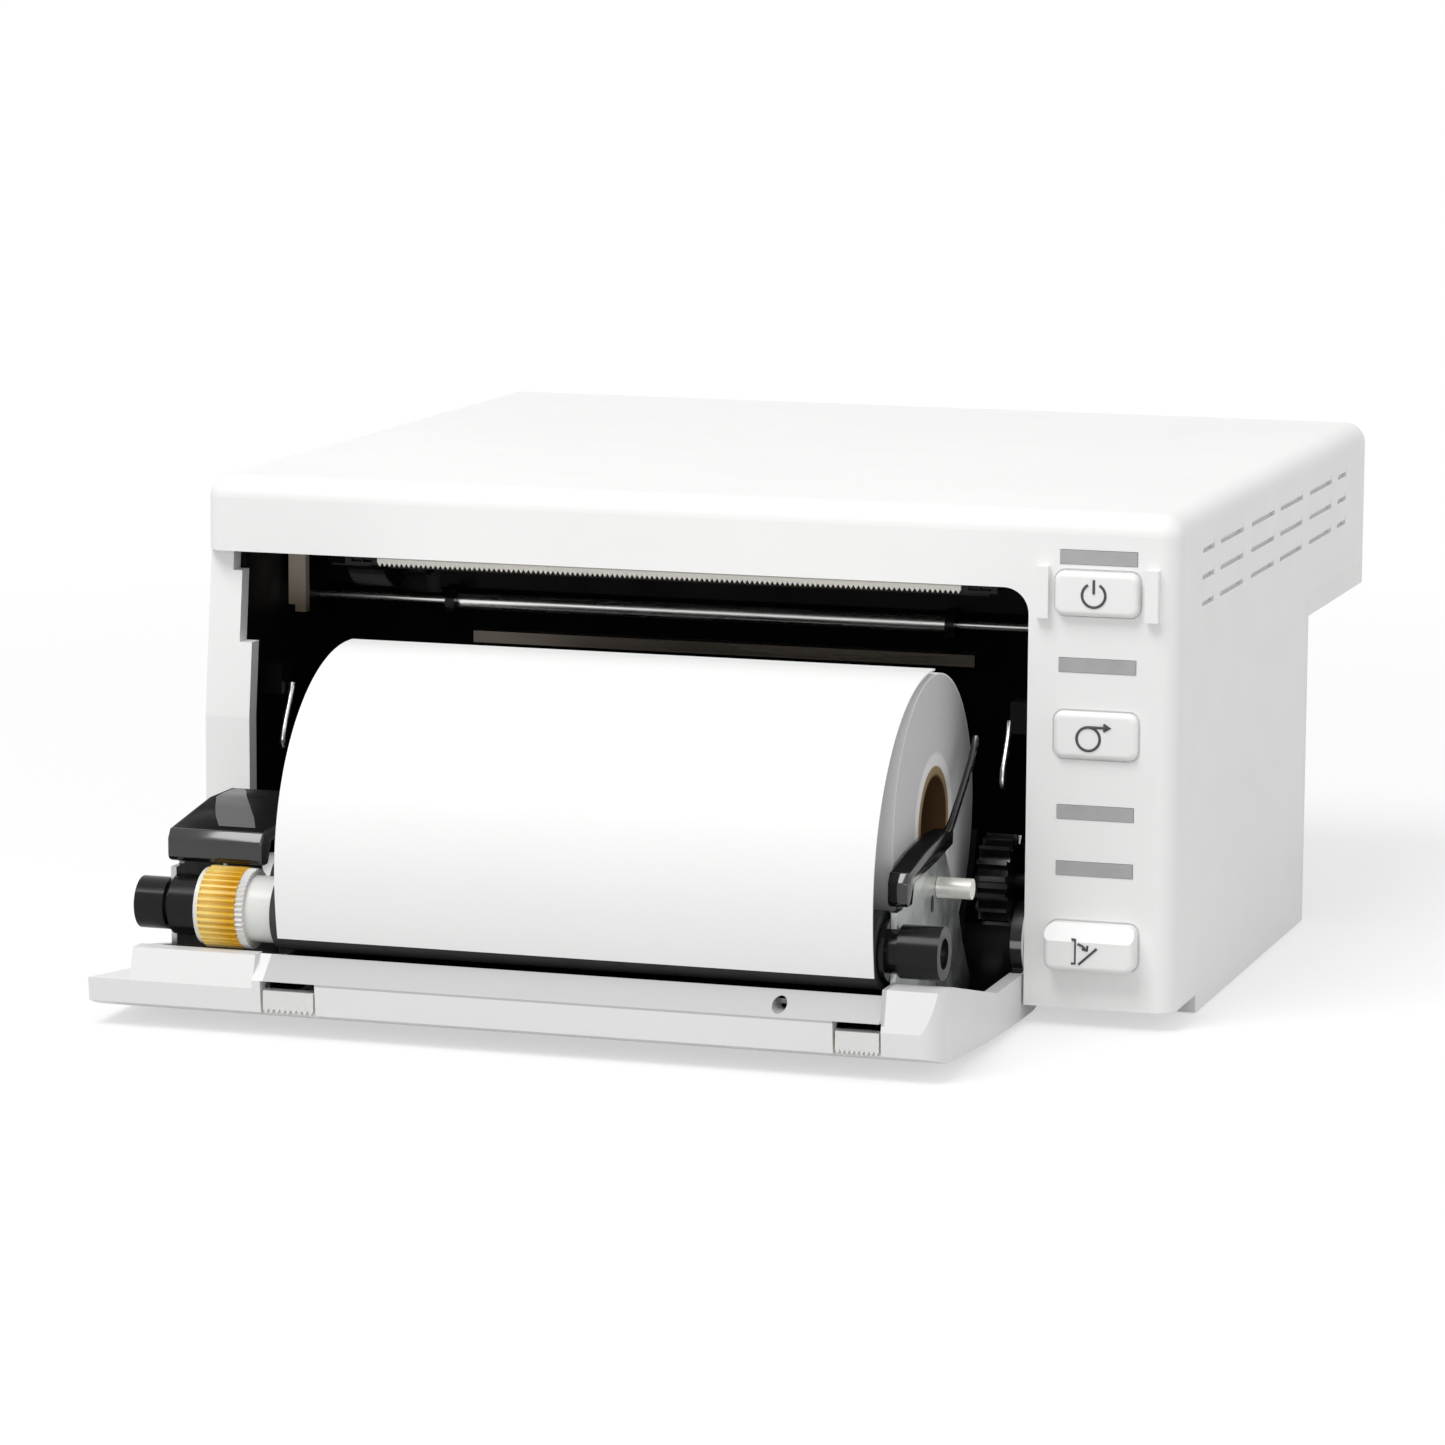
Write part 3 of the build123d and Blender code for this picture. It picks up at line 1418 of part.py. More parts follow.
def make_tail():
    """The sheet leaves the roll's top level, bends over in one wide arc and hangs before the platen."""
    inner_drop = platen_depth - platen_radius - air
    centre_depth = inner_drop + tail_radius
    centre_height = roll_height + roll_radius + tail_rise - tail_radius
    lines = []
    ends = []
    for radius in (tail_radius, tail_radius + tail_thick):
        half = radius * cos(radians(45))
        level = Line(yz(roll_depth, centre_height + radius), yz(centre_depth, centre_height + radius))
        bend = ThreePointArc(level @ 1, yz(centre_depth - half, centre_height + half),
                             yz(centre_depth - radius, centre_height))
        drop = Line(bend @ 1, yz(centre_depth - radius, tail_end))
        lines += [level, bend, drop]
        ends.append((level @ 0, drop @ 1))
    lines += [Line(ends[0][0], ends[1][0]), Line(ends[0][1], ends[1][1])]
    return extrude_x(make_face(lines), paper_left, paper_right)


def build_all():
    idler_turn = mesh_turn(idler_teeth, drive_teeth, 0, front_idler_place, drive_place)
    rear_turn = mesh_turn(idler_teeth, idler_teeth, idler_turn, rear_idler_place, front_idler_place)
    motor_place = (motor_depth, motor_height)
    pinion_turn = mesh_turn(pinion_teeth, idler_teeth, rear_turn, motor_place, rear_idler_place)
    axle_bore = axle_radius + running
    nodes = {
        "cover": make_cover(),
        "base": make_base(),
        "foot_pads": make_pads(),
        "case_screws": make_screws(),
        "rear_panel": make_rear_panel(),
        "mains_inlet": make_inlet(),
        "data_socket": make_usb(),
        "inner_frame": make_inner_frame(),
        "guide_rod": make_guide_rod(),
        "rod_collar_left": make_collar(-1),
        "rod_collar_right": make_collar(1),
        "guide_bar": make_guide_bar(),
        "sensor_post": make_sensor_post(),
        "catch_spring_left": make_catch_spring(left_spring_x),
        "catch_spring_right": make_catch_spring(right_spring_x),
        "print_head": make_print_head(),
        "heat_sink": make_heat_sink(),
        "cutter_blade": make_blade(),
        "blade_holder": make_blade_holder(),
        "motor": make_motor(),
        "motor_pinion": make_train_gear(pinion_teeth, pinion_radius, motor_place, motor_shaft + running,
                                        pinion_turn),
        "rear_idler": make_train_gear(idler_teeth, idler_radius, rear_idler_place, axle_bore, rear_turn,
                                      True),
        "front_idler": make_train_gear(idler_teeth, idler_radius, front_idler_place, axle_bore, idler_turn,
                                       True),
        "drive_gear": make_train_gear(drive_teeth, drive_radius, drive_place, axle_bore, 0),
        "wide_gear": make_wide_gear(),
        "power_button": make_switch_button(power_height, power_tall, power_proud),
        "feed_button": make_switch_button(feed_height, feed_tall, feed_proud),
        "open_button": make_open_button(),
        "switch_board": make_switch_board(),
        "main_board": make_main_board(),
        "power_board": make_power_board(),
        "hinge_pin_left": make_hinge_pin(-1),
        "hinge_pin_right": make_hinge_pin(1),
        "door_cover": make_door_cover(),
        "comb_left": make_comb(comb_left, comb_wide),
        "comb_right": make_comb(comb_right, comb_right_wide),
        "side_plate_left": make_side_plate(left_plate),
        "side_plate_right": make_side_plate(right_plate),
        "latch_pin_left": make_latch_pin(left_plate - left_pin_long, left_plate - seat, left_plate - seat,
                                         left_plate + plate_thick),
        "latch_pin_right": make_latch_pin(right_plate + plate_thick + seat,
                                          right_plate + plate_thick + pin_long, right_plate,
                                          right_plate + plate_thick + seat),
        "holder_left": make_left_holder(),
        "holder_right": make_right_holder(),
        "roll_cradle": make_cradle(),
        "platen_shaft": make_shaft(),
        "platen_rubber": make_rubber(),
        "gear_hub": make_gear_hub(),
        "platen_gear": make_yellow_gear(),
        "bearing_left": make_bearing(left_knob_left, left_plate - seat, left_plate + plate_thick + seat,
                                     left_collar_right),
        "bearing_right": make_bearing(right_knob_left, right_knob_right, paper_right + air,
                                      right_plate - seat),
        "paper_roll": make_roll(),
        "roll_core": make_core(),
        "paper_tail": make_tail(),
    }
    for name, height in lamp_heights.items():
        nodes[name] = make_lamp(height)
    return nodes


for node, shape in build_all().items():
    export_step(shape, "parts/" + node + ".step")
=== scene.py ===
import json
import math

import bmesh
import bpy
from mathutils import Matrix, Vector


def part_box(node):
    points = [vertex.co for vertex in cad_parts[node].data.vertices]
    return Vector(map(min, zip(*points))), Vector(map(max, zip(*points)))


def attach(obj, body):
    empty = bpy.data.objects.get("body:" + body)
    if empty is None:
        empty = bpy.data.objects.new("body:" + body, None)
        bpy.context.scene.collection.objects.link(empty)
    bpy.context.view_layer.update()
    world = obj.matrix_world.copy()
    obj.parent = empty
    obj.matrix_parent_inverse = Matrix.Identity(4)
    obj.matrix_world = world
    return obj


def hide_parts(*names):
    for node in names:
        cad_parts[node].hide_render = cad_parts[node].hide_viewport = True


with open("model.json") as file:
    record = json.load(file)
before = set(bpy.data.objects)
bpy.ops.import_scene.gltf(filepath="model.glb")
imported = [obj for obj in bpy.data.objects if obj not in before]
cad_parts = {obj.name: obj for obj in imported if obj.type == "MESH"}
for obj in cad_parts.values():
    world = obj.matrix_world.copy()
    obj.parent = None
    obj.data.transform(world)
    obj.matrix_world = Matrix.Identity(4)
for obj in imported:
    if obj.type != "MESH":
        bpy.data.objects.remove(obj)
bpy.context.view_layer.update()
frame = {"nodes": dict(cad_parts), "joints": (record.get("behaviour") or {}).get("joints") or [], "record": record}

# Places are in millimetres, counted as the object's source counts them: x, depth behind the
# front plane, height above the underside. MM turns them into the frame's metres.
MM = 0.001
HINGE_DEPTH = 6
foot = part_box("base")[0][2]
hinge_joint = next(joint for joint in frame["joints"] if joint["name"] == "door_hinge")
front = hinge_joint["pos_m"][1] - HINGE_DEPTH * MM
scene = bpy.context.scene


def at(x, depth, height):
    return Vector((x * MM, front + depth * MM, foot + height * MM))


# Camera: fitted to the corners of the case in the photograph
IMAGE_SIDE = 1445
FOCAL_PIXELS = 5795
SENSOR = 36
CAMERA_AT = (241.0, -747.5, 163.5)
CAMERA_YAW = 17.43
CAMERA_PITCH = 9.03
CAMERA_ROLL = 0.31


def make_camera():
    yaw, pitch, roll = (math.radians(a) for a in (CAMERA_YAW, CAMERA_PITCH, CAMERA_ROLL))
    look = Vector((-math.sin(yaw) * math.cos(pitch), math.cos(yaw) * math.cos(pitch), -math.sin(pitch)))
    right = Vector((math.cos(yaw), math.sin(yaw), 0))
    up = right.cross(look)
    rolled_right = right * math.cos(roll) + up * math.sin(roll)
    rolled_up = up * math.cos(roll) - right * math.sin(roll)
    data = bpy.data.cameras.new("camera")
    data.sensor_width = SENSOR
    data.lens = SENSOR * FOCAL_PIXELS / IMAGE_SIDE
    data.clip_start = 0.01
    camera = bpy.data.objects.new("camera", data)
    rotation = Matrix((rolled_right, rolled_up, -look)).transposed().to_4x4()
    camera.matrix_world = Matrix.Translation(at(*CAMERA_AT)) @ rotation
    scene.collection.objects.link(camera)
    scene.camera = camera


# Materials
NOISE_SPAN = (0.3, 0.7)
ALONG_X = (0.05, 1, 1)


class Look:
    """A procedural material: a Principled shader that reads noise in the object's own space."""

    def __init__(self, name, color, roughness, metallic=0.0, specular=0.5):
        self.material = bpy.data.materials.new(name)
        self.material.use_nodes = True
        self.nodes = self.material.node_tree.nodes
        self.links = self.material.node_tree.links
        self.shader = self.nodes["Principled BSDF"]
        self.space = self.nodes.new("ShaderNodeTexCoord").outputs["Object"]
        self.color = color
        self.set("Base Color", (*color, 1))
        self.set("Roughness", roughness)
        self.set("Metallic", metallic)
        self.set("Specular IOR Level", specular)
        self.bumped = None

    def set(self, socket, value):
        self.shader.inputs[socket].default_value = value
        return self

    def node(self, kind, inputs=(), **settings):
        node = self.nodes.new(kind)
        for key, value in settings.items():
            setattr(node, key, value)
        for key, value in dict(inputs).items():
            if isinstance(value, bpy.types.NodeSocket):
                self.links.new(value, node.inputs[key])
            else:
                node.inputs[key].default_value = value
        return node

    def noise(self, scale, detail, stretch=(1, 1, 1)):
        """Noise whose grains are about 1 / scale metres wide."""
        place = self.node("ShaderNodeMapping", {"Vector": self.space, "Scale": stretch})
        inputs = {"Vector": place.outputs["Vector"], "Scale": scale, "Detail": detail}
        return self.node("ShaderNodeTexNoise", inputs).outputs["Fac"]

    def ramp(self, value, low, high, first, last):
        inputs = {"Value": value, "From Min": low, "From Max": high, "To Min": first, "To Max": last}
        return self.node("ShaderNodeMapRange", inputs).outputs["Result"]

    def share(self, value, low, high):
        """0 below low, 1 above high."""
        return self.ramp(value, low, high, 0, 1)

    def math(self, operation, first, second):
        """The Value output of a Math node."""
        return self.node("ShaderNodeMath", {0: first, 1: second}, operation=operation).outputs["Value"]

    def axes(self):
        """The X, Y and Z of the place."""
        return self.node("ShaderNodeSeparateXYZ", {"Vector": self.space}).outputs

    def mix(self, factor, color_a, color_b):
        node = self.node("ShaderNodeMix", data_type="RGBA")
        for socket, value in (("Factor_Float", factor), ("A_Color", color_a), ("B_Color", color_b)):
            target = next(s for s in node.inputs if s.identifier == socket)
            if isinstance(value, bpy.types.NodeSocket):
                self.links.new(value, target)
            else:
                target.default_value = value if socket == "Factor_Float" else (*value, 1)
        return next(s for s in node.outputs if s.identifier == "Result_Color")

    def paint(self, color_socket):
        self.links.new(color_socket, self.shader.inputs["Base Color"])
        return self

    def mottle(self, scale, amount, stretch=(1, 1, 1)):
        """The colour wanders a little darker and lighter."""
        dark = tuple(c * (1 - amount) for c in self.color)
        light = tuple(min(1, c * (1 + amount)) for c in self.color)
        share = self.share(self.noise(scale, 4.0, stretch), *NOISE_SPAN)
        return self.paint(self.mix(share, dark, light))

    def haze(self, scale, low, high, stretch=(1, 1, 1)):
        """The roughness wanders between low and high."""
        value = self.ramp(self.noise(scale, 4.0, stretch), *NOISE_SPAN, low, high)
        self.links.new(value, self.shader.inputs["Roughness"])
        return self

    def relief(self, value, strength, distance):
        inputs = {"Height": value, "Strength": strength, "Distance": distance}
        if self.bumped is not None:
            inputs["Normal"] = self.bumped
        self.bumped = self.node("ShaderNodeBump", inputs).outputs["Normal"]
        self.links.new(self.bumped, self.shader.inputs["Normal"])
        return self

    def grain(self, scale, strength, distance, stretch=(1, 1, 1)):
        return self.relief(self.noise(scale, 3.0, stretch), strength, distance)


def turned_rings(look, centre, pitch, strength, distance):
    """Fine rings round an axis along X, as on a wound roll or a turned shaft's end."""
    kind = "ShaderNodeVectorMath"
    moved = look.node(kind, {0: look.space, 1: (0, centre[1], centre[2])}, operation="SUBTRACT")
    flat = look.node(kind, {0: moved.outputs["Vector"], 1: (0, 1, 1)}, operation="MULTIPLY")
    radius = look.node(kind, {0: flat.outputs["Vector"]}, operation="LENGTH").outputs["Value"]
    inputs = {"W": look.math("MULTIPLY", radius, 1 / pitch), "Scale": 1.0, "Detail": 5.0}
    rings = look.node("ShaderNodeTexNoise", inputs, noise_dimensions="1D").outputs["Fac"]
    look.relief(rings, strength, distance)
    return radius, rings


def middle_of(name):
    """The centre of a CAD node's box."""
    return [(low + high) / 2 for low, high in zip(*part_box(name))]


def moulded(name, color, roughness):
    """Satin injection-moulded plastic with a fine spark-eroded texture."""
    look = Look(name, color, roughness)
    look.mottle(35, 0.012)
    look.haze(180, roughness - 0.05, roughness + 0.06)
    look.grain(5200, 0.12, 0.00004)
    return look.material


def glossy_black(name, roughness, fleck, specular):
    """Black plastic: fleck is the strength of its grain."""
    look = Look(name, (0.007, 0.0065, 0.0065), roughness, specular=specular)
    look.mottle(90, 0.25)
    look.haze(140, max(0.04, roughness * 0.7), roughness * 1.4)
    look.grain(1900, fleck, 0.00003)
    return look.material


def steel(name, color, roughness, scale, stretch):
    """Bare metal with brush marks that run along the short axis of stretch."""
    look = Look(name, color, roughness, metallic=1.0)
    look.mottle(scale / 6, 0.08, stretch=stretch)
    look.haze(scale, max(0.04, roughness - 0.06), roughness + 0.1, stretch)
    look.grain(scale, 0.1, 0.00002, stretch=stretch)
    return look.material


def ground_steel(name, color, metallic):
    """Steel with a fine ground finish, which scatters part of the light."""
    look = Look(name, color, 0.28, metallic=metallic)
    look.mottle(120, 0.06, stretch=ALONG_X)
    look.haze(800, 0.22, 0.38, ALONG_X)
    look.grain(900, 0.06, 0.00002, stretch=ALONG_X)
    return look.material


BLADE_BRIGHT = (0.90, 0.87, 0.80)
BLADE_BROWN = (0.09, 0.07, 0.05)
BLADE_TIP_BAND = (1.0 * MM, 1.25 * MM)


def toothed_steel():
    """The tear-off blade: bright along its teeth, dark brown above them."""
    look = Look("blade_steel", BLADE_BRIGHT, 0.35, metallic=0.2)
    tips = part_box("cutter_blade")[0][2]
    share = look.share(look.axes()["Z"], tips + BLADE_TIP_BAND[0], tips + BLADE_TIP_BAND[1])
    look.paint(look.mix(share, BLADE_BRIGHT, BLADE_BROWN))
    look.haze(800, 0.3, 0.42)
    return look.material


def spangled_steel():
    """Galvanised sheet with faint zinc flowers."""
    look = Look("plated_steel", (0.50, 0.53, 0.52), 0.33, metallic=1.0)
    cells = look.node("ShaderNodeTexVoronoi", {"Vector": look.space, "Scale": 420.0}).outputs["Color"]
    grey = look.node("ShaderNodeRGBToBW", {"Color": cells}).outputs["Val"]
    look.paint(look.mix(grey, (0.42, 0.45, 0.44), (0.60, 0.63, 0.62)))
    look.haze(300, 0.27, 0.42)
    look.grain(2600, 0.08, 0.00002)
    return look.material


# Painted highlight on the gear: where its paler end stops and its full yellow starts
HIGHLIGHT_END = 1.5 * MM
HIGHLIGHT_FADE_END = 1.0 * MM


def soft_plastic(name, color, painted_highlight=None):
    """Unfilled acetal, through which light spreads a little. Given a second colour, a painted highlight makes the
    gear's outer end paler.
    """
    look = Look(name, color, 0.3)
    if painted_highlight:
        # Painted highlight: paler at the gear's outer end, fading to its own yellow along X
        low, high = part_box("platen_gear")
        share = look.share(look.axes()["X"], low[0] + HIGHLIGHT_END, high[0] - HIGHLIGHT_FADE_END)
        look.paint(look.mix(share, painted_highlight, color))
    else:
        look.mottle(60, 0.02)
    look.haze(200, 0.24, 0.36)
    look.set("Subsurface Weight", 0.6)
    look.set("Subsurface Radius", (0.003, 0.002, 0.001))
    return look.material


MASK_EDGE = 0.05


def inside(look, limits):
    """1 where the place lies between the given limits in mm along each axis, else 0."""
    place = look.axes()
    start = {"X": 0, "Y": front, "Z": foot}
    share = 1.0
    for axis, (low, high) in limits.items():
        for limit, first, last in ((low, 0, 1), (high, 1, 0)):
            near, far = (start[axis] + (limit + edge) * MM for edge in (-MASK_EDGE, MASK_EDGE))
            share = look.math("MULTIPLY", look.ramp(place[axis], near, far, first, last), share)
    return share


# Painted shade on the sensor post: its colour at the lower end and the heights it fades over
POST_PAINTED_SHADE = (0.20, 0.16, 0.11)
POST_CREAM = (0.88, 0.78, 0.66)
POST_SHADE_FADE = (49 * MM, 57 * MM)


def post_plastic():
    """Cream plastic, with painted shade darkening it to brown towards its lower end."""
    look = Look("post_cream", (0.80, 0.70, 0.57), 0.4)
    # Painted shade: dark brown at the lower end, fading to cream above
    share = look.share(look.axes()["Z"], foot + POST_SHADE_FADE[0], foot + POST_SHADE_FADE[1])
    look.paint(look.mix(share, POST_PAINTED_SHADE, POST_CREAM))
    look.grain(2600, 0.1, 0.00003)
    return look.material


DOOR_WHITE = ((0.79, 0.786, 0.783), (0.81, 0.806, 0.803))
# Painted shade on the door's sloped front strip: its grey and the box it fills
STRIP_PAINTED_SHADE = (0.50, 0.495, 0.495)
SHADED_STRIP_PLACE = {"X": (-44.7, 41.5), "Y": (-43.0, -36.0), "Z": (7.3, 12.0)}
HINGE_BLACK = (0.008, 0.008, 0.008)
HINGE_PLACE = {"X": (-60.5, 48.7), "Y": (0.8, 40.0), "Z": (0.0, 60.0)}


def faces_inward(look):
    """1 on the faces that look up or forwards while the door is open, so into the closed case."""
    way = look.node("ShaderNodeTexCoord").outputs["Normal"]
    turned = look.node("ShaderNodeVectorMath", {0: way, 1: (0, -1, 1)}, operation="DOT_PRODUCT")
    return look.share(turned.outputs["Value"], 0.05, 0.15)


def door_plastic():
    """White plastic, with painted shade greying the sloped front strip, and black inside where the hinge is."""
    look = Look("door_white", (0.80, 0.796, 0.793), 0.36)
    white = look.mix(look.share(look.noise(35, 4.0), *NOISE_SPAN), *DOOR_WHITE)
    # Painted shade: the sloped front strip is greyed
    strip_shaded = look.mix(inside(look, SHADED_STRIP_PLACE), white, STRIP_PAINTED_SHADE)
    shaded = look.math("MULTIPLY", inside(look, HINGE_PLACE), faces_inward(look))
    look.paint(look.mix(shaded, strip_shaded, HINGE_BLACK))
    look.haze(180, 0.31, 0.42)
    look.grain(5200, 0.12, 0.00004)
    return look.material


PAPER_WHITE = (0.86, 0.86, 0.855)
PAPER_TURNS = ((0.555, 0.55, 0.555), (0.60, 0.595, 0.60))
PAPER_INNER = (0.76, 0.75, 0.75)
INNER_TURNS = (9.0 * MM, 9.5 * MM)
ROLL_RIM = (19.7 * MM, 19.9 * MM)


def paper_sheet():
    look = Look("thermal_paper", (0.88, 0.88, 0.875), 0.42, specular=0.4)
    look.mottle(60, 0.006)
    look.grain(2400, 0.05, 0.00003)
    return look.material


def paper_wound():
    """The roll: smooth on its rim, with the edges of its many turns on its ends."""
    look = Look("wound_paper", PAPER_WHITE, 0.6, specular=0.2)
    radius, rings = turned_rings(look, middle_of("paper_roll"), 0.00025, 0.06, 0.00003)
    turns = look.mix(look.share(rings, *NOISE_SPAN), *PAPER_TURNS)
    turns = look.mix(look.share(radius, *INNER_TURNS), PAPER_INNER, turns)
    look.paint(look.mix(look.share(radius, *ROLL_RIM), turns, PAPER_WHITE))
    return look.material


CARD_FIBRES = ((0.20, 0.14, 0.07), (0.34, 0.25, 0.14))
# Painted shade inside the core's bore
CARD_BORE_SHADE = (0.09, 0.045, 0.018)
CORE_WALL = (6.3 * MM, 6.6 * MM)


def cardboard():
    """Brown board, with painted shade darkening the inside of the tube."""
    look = Look("core_cardboard", (0.36, 0.25, 0.17), 0.8, specular=0.2)
    radius, rings = turned_rings(look, middle_of("roll_core"), 0.0003, 0.3, 0.00005)
    fibre = look.mix(look.share(rings, *NOISE_SPAN), *CARD_FIBRES)
    # Painted shade: the bore inside the core wall is darkened
    look.paint(look.mix(look.share(radius, *CORE_WALL), CARD_BORE_SHADE, fibre))
    look.grain(900, 0.2, 0.0001, stretch=(0.2, 1, 1))
    return look.material


def speckled(name, color, roughness, scale, amount, grain=None, specular=0.5):
    """A plain substance whose colour wanders, with a grain of (scale, strength, distance) if given."""
    look = Look(name, color, roughness, specular=specular).mottle(scale, amount)
    if grain:
        look.grain(*grain)
    return look.material


def lamp_window():
    """Grey window of a lamp, which is off."""
    look = Look("lamp_grey", (0.40, 0.395, 0.40), 0.3).mottle(400, 0.05).grain(2500, 0.05, 0.00003)
    look.set("Subsurface Weight", 0.1)
    look.set("Subsurface Radius", (0.001, 0.001, 0.001))
    return look.material


def make_materials():
    return {
        "case_white": moulded("case_white", (0.885, 0.879, 0.874), 0.42),
        "case_grey": moulded("case_grey", (0.875, 0.87, 0.865), 0.45),
        "door_white": door_plastic(),
        "post_cream": post_plastic(),
        "black_plastic": glossy_black("black_plastic", 0.20, 0.05, 0.2),
        "black_satin": glossy_black("black_satin", 0.40, 0.15, 0.08),
        "black_gloss": glossy_black("black_gloss", 0.14, 0.02, 0.8),
        "black_polished": glossy_black("black_polished", 0.1, 0.0, 0.3),
        "black_matt": glossy_black("black_matt", 0.5, 0.2, 0.03),
        "white_plastic": soft_plastic("white_plastic", (0.74, 0.74, 0.72)),
        # yellow_plastic's second colour is a painted highlight on the gear's outer end
        "yellow_plastic": soft_plastic("yellow_plastic", (0.73, 0.44, 0.02), (0.90, 0.69, 0.22)),
        "lamp_grey": lamp_window(),
        "symbol_grey": speckled("symbol_grey", (0.055, 0.055, 0.06), 0.5, 900, 0.1),
        "plated_steel": spangled_steel(),
        "polished_steel": steel("polished_steel", (0.74, 0.73, 0.72), 0.13, 700, ALONG_X),
        "ground_steel": ground_steel("ground_steel", (0.95, 0.93, 0.88), 0.35),
        "rod_steel": steel("rod_steel", (0.99, 0.975, 0.93), 0.27, 700, ALONG_X),
        "edge_steel": ground_steel("edge_steel", (0.16, 0.135, 0.11), 0.6),
        "blade_steel": toothed_steel(),
        "spring_steel": steel("spring_steel", (0.72, 0.72, 0.71), 0.2, 900, (1, 1, 1)),
        "motor_steel": steel("motor_steel", (0.52, 0.52, 0.51), 0.32, 500, (0.1, 1, 1)),
        "head_ceramic": speckled("head_ceramic", (0.02, 0.017, 0.015), 0.3, 500, 0.2, specular=0.1),
        "black_rubber": speckled("black_rubber", (0.022, 0.022, 0.022), 0.72, 300, 0.2,
                                 (3000, 0.25, 0.00005)),
        "thermal_paper": paper_sheet(),
        "wound_paper": paper_wound(),
        "core_cardboard": cardboard(),
        "board_green": speckled("board_green", (0.02, 0.11, 0.045), 0.35, 500, 0.3, (900, 0.2, 0.0001)),
    }


# A look of its own for some nodes, and the width in mm of the bevels that catch light
OWN_LOOK = {"door_cover": "door_white", "paper_roll": "wound_paper", "inner_frame": "black_satin",
            "roll_cradle": "black_satin", "sensor_post": "post_cream", "wide_gear": "black_gloss",
            "heat_sink": "black_satin", "latch_pin_left": "ground_steel", "latch_pin_right": "ground_steel",
            "guide_rod": "rod_steel", "guide_bar": "edge_steel", "cutter_blade": "blade_steel"}
EDGE_BEVELS = {
    0.08: "guide_bar",
    0.12: "cover gear_hub side_plate_left side_plate_right wide_gear",
    0.15: "guide_rod data_socket rear_panel blade_holder roll_core",
    0.2: "inner_frame case_screws",
    0.25: "roll_cradle sensor_post rod_collar_left rod_collar_right",
    0.3: "bearing_left bearing_right latch_pin_left latch_pin_right power_lamp print_lamp "
         "paper_lamp alarm_lamp mains_inlet foot_pads",
    0.4: "base motor",
    0.7: "door_cover",
}
BEVEL_STEPS = 2
BEVEL_ANGLE = 35


def dress_nodes(looks):
    """Every CAD node gets its look, and those listed a small bevel."""
    slots = {part["node"]: part["material_slot"] for part in frame["record"]["subparts"]}
    widths = {name: width for width, names in EDGE_BEVELS.items() for name in names.split()}
    for name, node in frame["nodes"].items():
        node.data.materials.clear()
        node.data.materials.append(looks[OWN_LOOK.get(name, slots[name])])
        if name in widths:
            bevel = node.modifiers.new("edge", "BEVEL")
            bevel.width = widths[name] * MM
            bevel.segments = BEVEL_STEPS
            bevel.limit_method = "ANGLE"
            bevel.angle_limit = math.radians(BEVEL_ANGLE)
            bevel.harden_normals = True


# Mesh helpers
SHARP_ANGLE = 30


def mesh_piece(name, body, look, mesh):
    """An object for the mesh that rides on the body, smooth but for its sharp edges."""
    piece = bpy.data.objects.new(name, mesh)
    scene.collection.objects.link(piece)
    mesh.materials.append(look)
    for polygon in mesh.polygons:
        polygon.use_smooth = True
    mesh.set_sharp_from_angle(angle=math.radians(SHARP_ANGLE))
    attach(piece, body)
    return piece


def loft(form, first, last):
    """Closes two rings of as many points into one solid."""
    rings = [[form.verts.new(point) for point in ring] for ring in (first, last)]
    form.faces.new(rings[0])
    form.faces.new(rings[1][::-1])
    for i, (a, b) in enumerate(zip(*rings)):
        j = (i + 1) % len(first)
        form.faces.new([a, b, rings[1][j], rings[0][j]])


def finish_mesh(name, form):
    bmesh.ops.recalc_face_normals(form, faces=form.faces)
    mesh = bpy.data.meshes.new(name)
    form.to_mesh(mesh)
    form.free()
    return mesh


def strip_mesh(name, rows, shifts):
    """A sheet through rows of points, with a second face that lies each row's shift away."""
    form = bmesh.new()
    front_rows = [[form.verts.new(point) for point in row] for row in rows]
    back_rows = [[form.verts.new(Vector(point) + shift) for point in row] for row, shift in zip(rows, shifts)]
    for side, flip in ((front_rows, False), (back_rows, True)):
        for a, b in zip(side, side[1:]):
            for i in range(len(a) - 1):
                corners = [a[i], a[i + 1], b[i + 1], b[i]]
                form.faces.new(corners[::-1] if flip else corners)
    outline = ([(row[0], back[0]) for row, back in zip(front_rows, back_rows)]
               + list(zip(front_rows[-1], back_rows[-1]))[1:]
               + [(row[-1], back[-1]) for row, back in zip(front_rows, back_rows)][::-1][1:]
               + list(zip(front_rows[0], back_rows[0]))[::-1][1:-1])
    for (a, b), (c, d) in zip(outline, outline[1:] + outline[:1]):
        form.faces.new([a, b, d, c])
    return finish_mesh(name, form)


# Loose end of the paper
TAIL_THICK = 0.25 * MM
TAIL_RADIUS = 27.6 * MM
TAIL_CURL = 1.0 * MM
TAIL_LEAD_STEPS = 5
TAIL_BEND_STEPS = 40
TAIL_CURL_STEPS = 12
TAIL_COLUMNS = 24


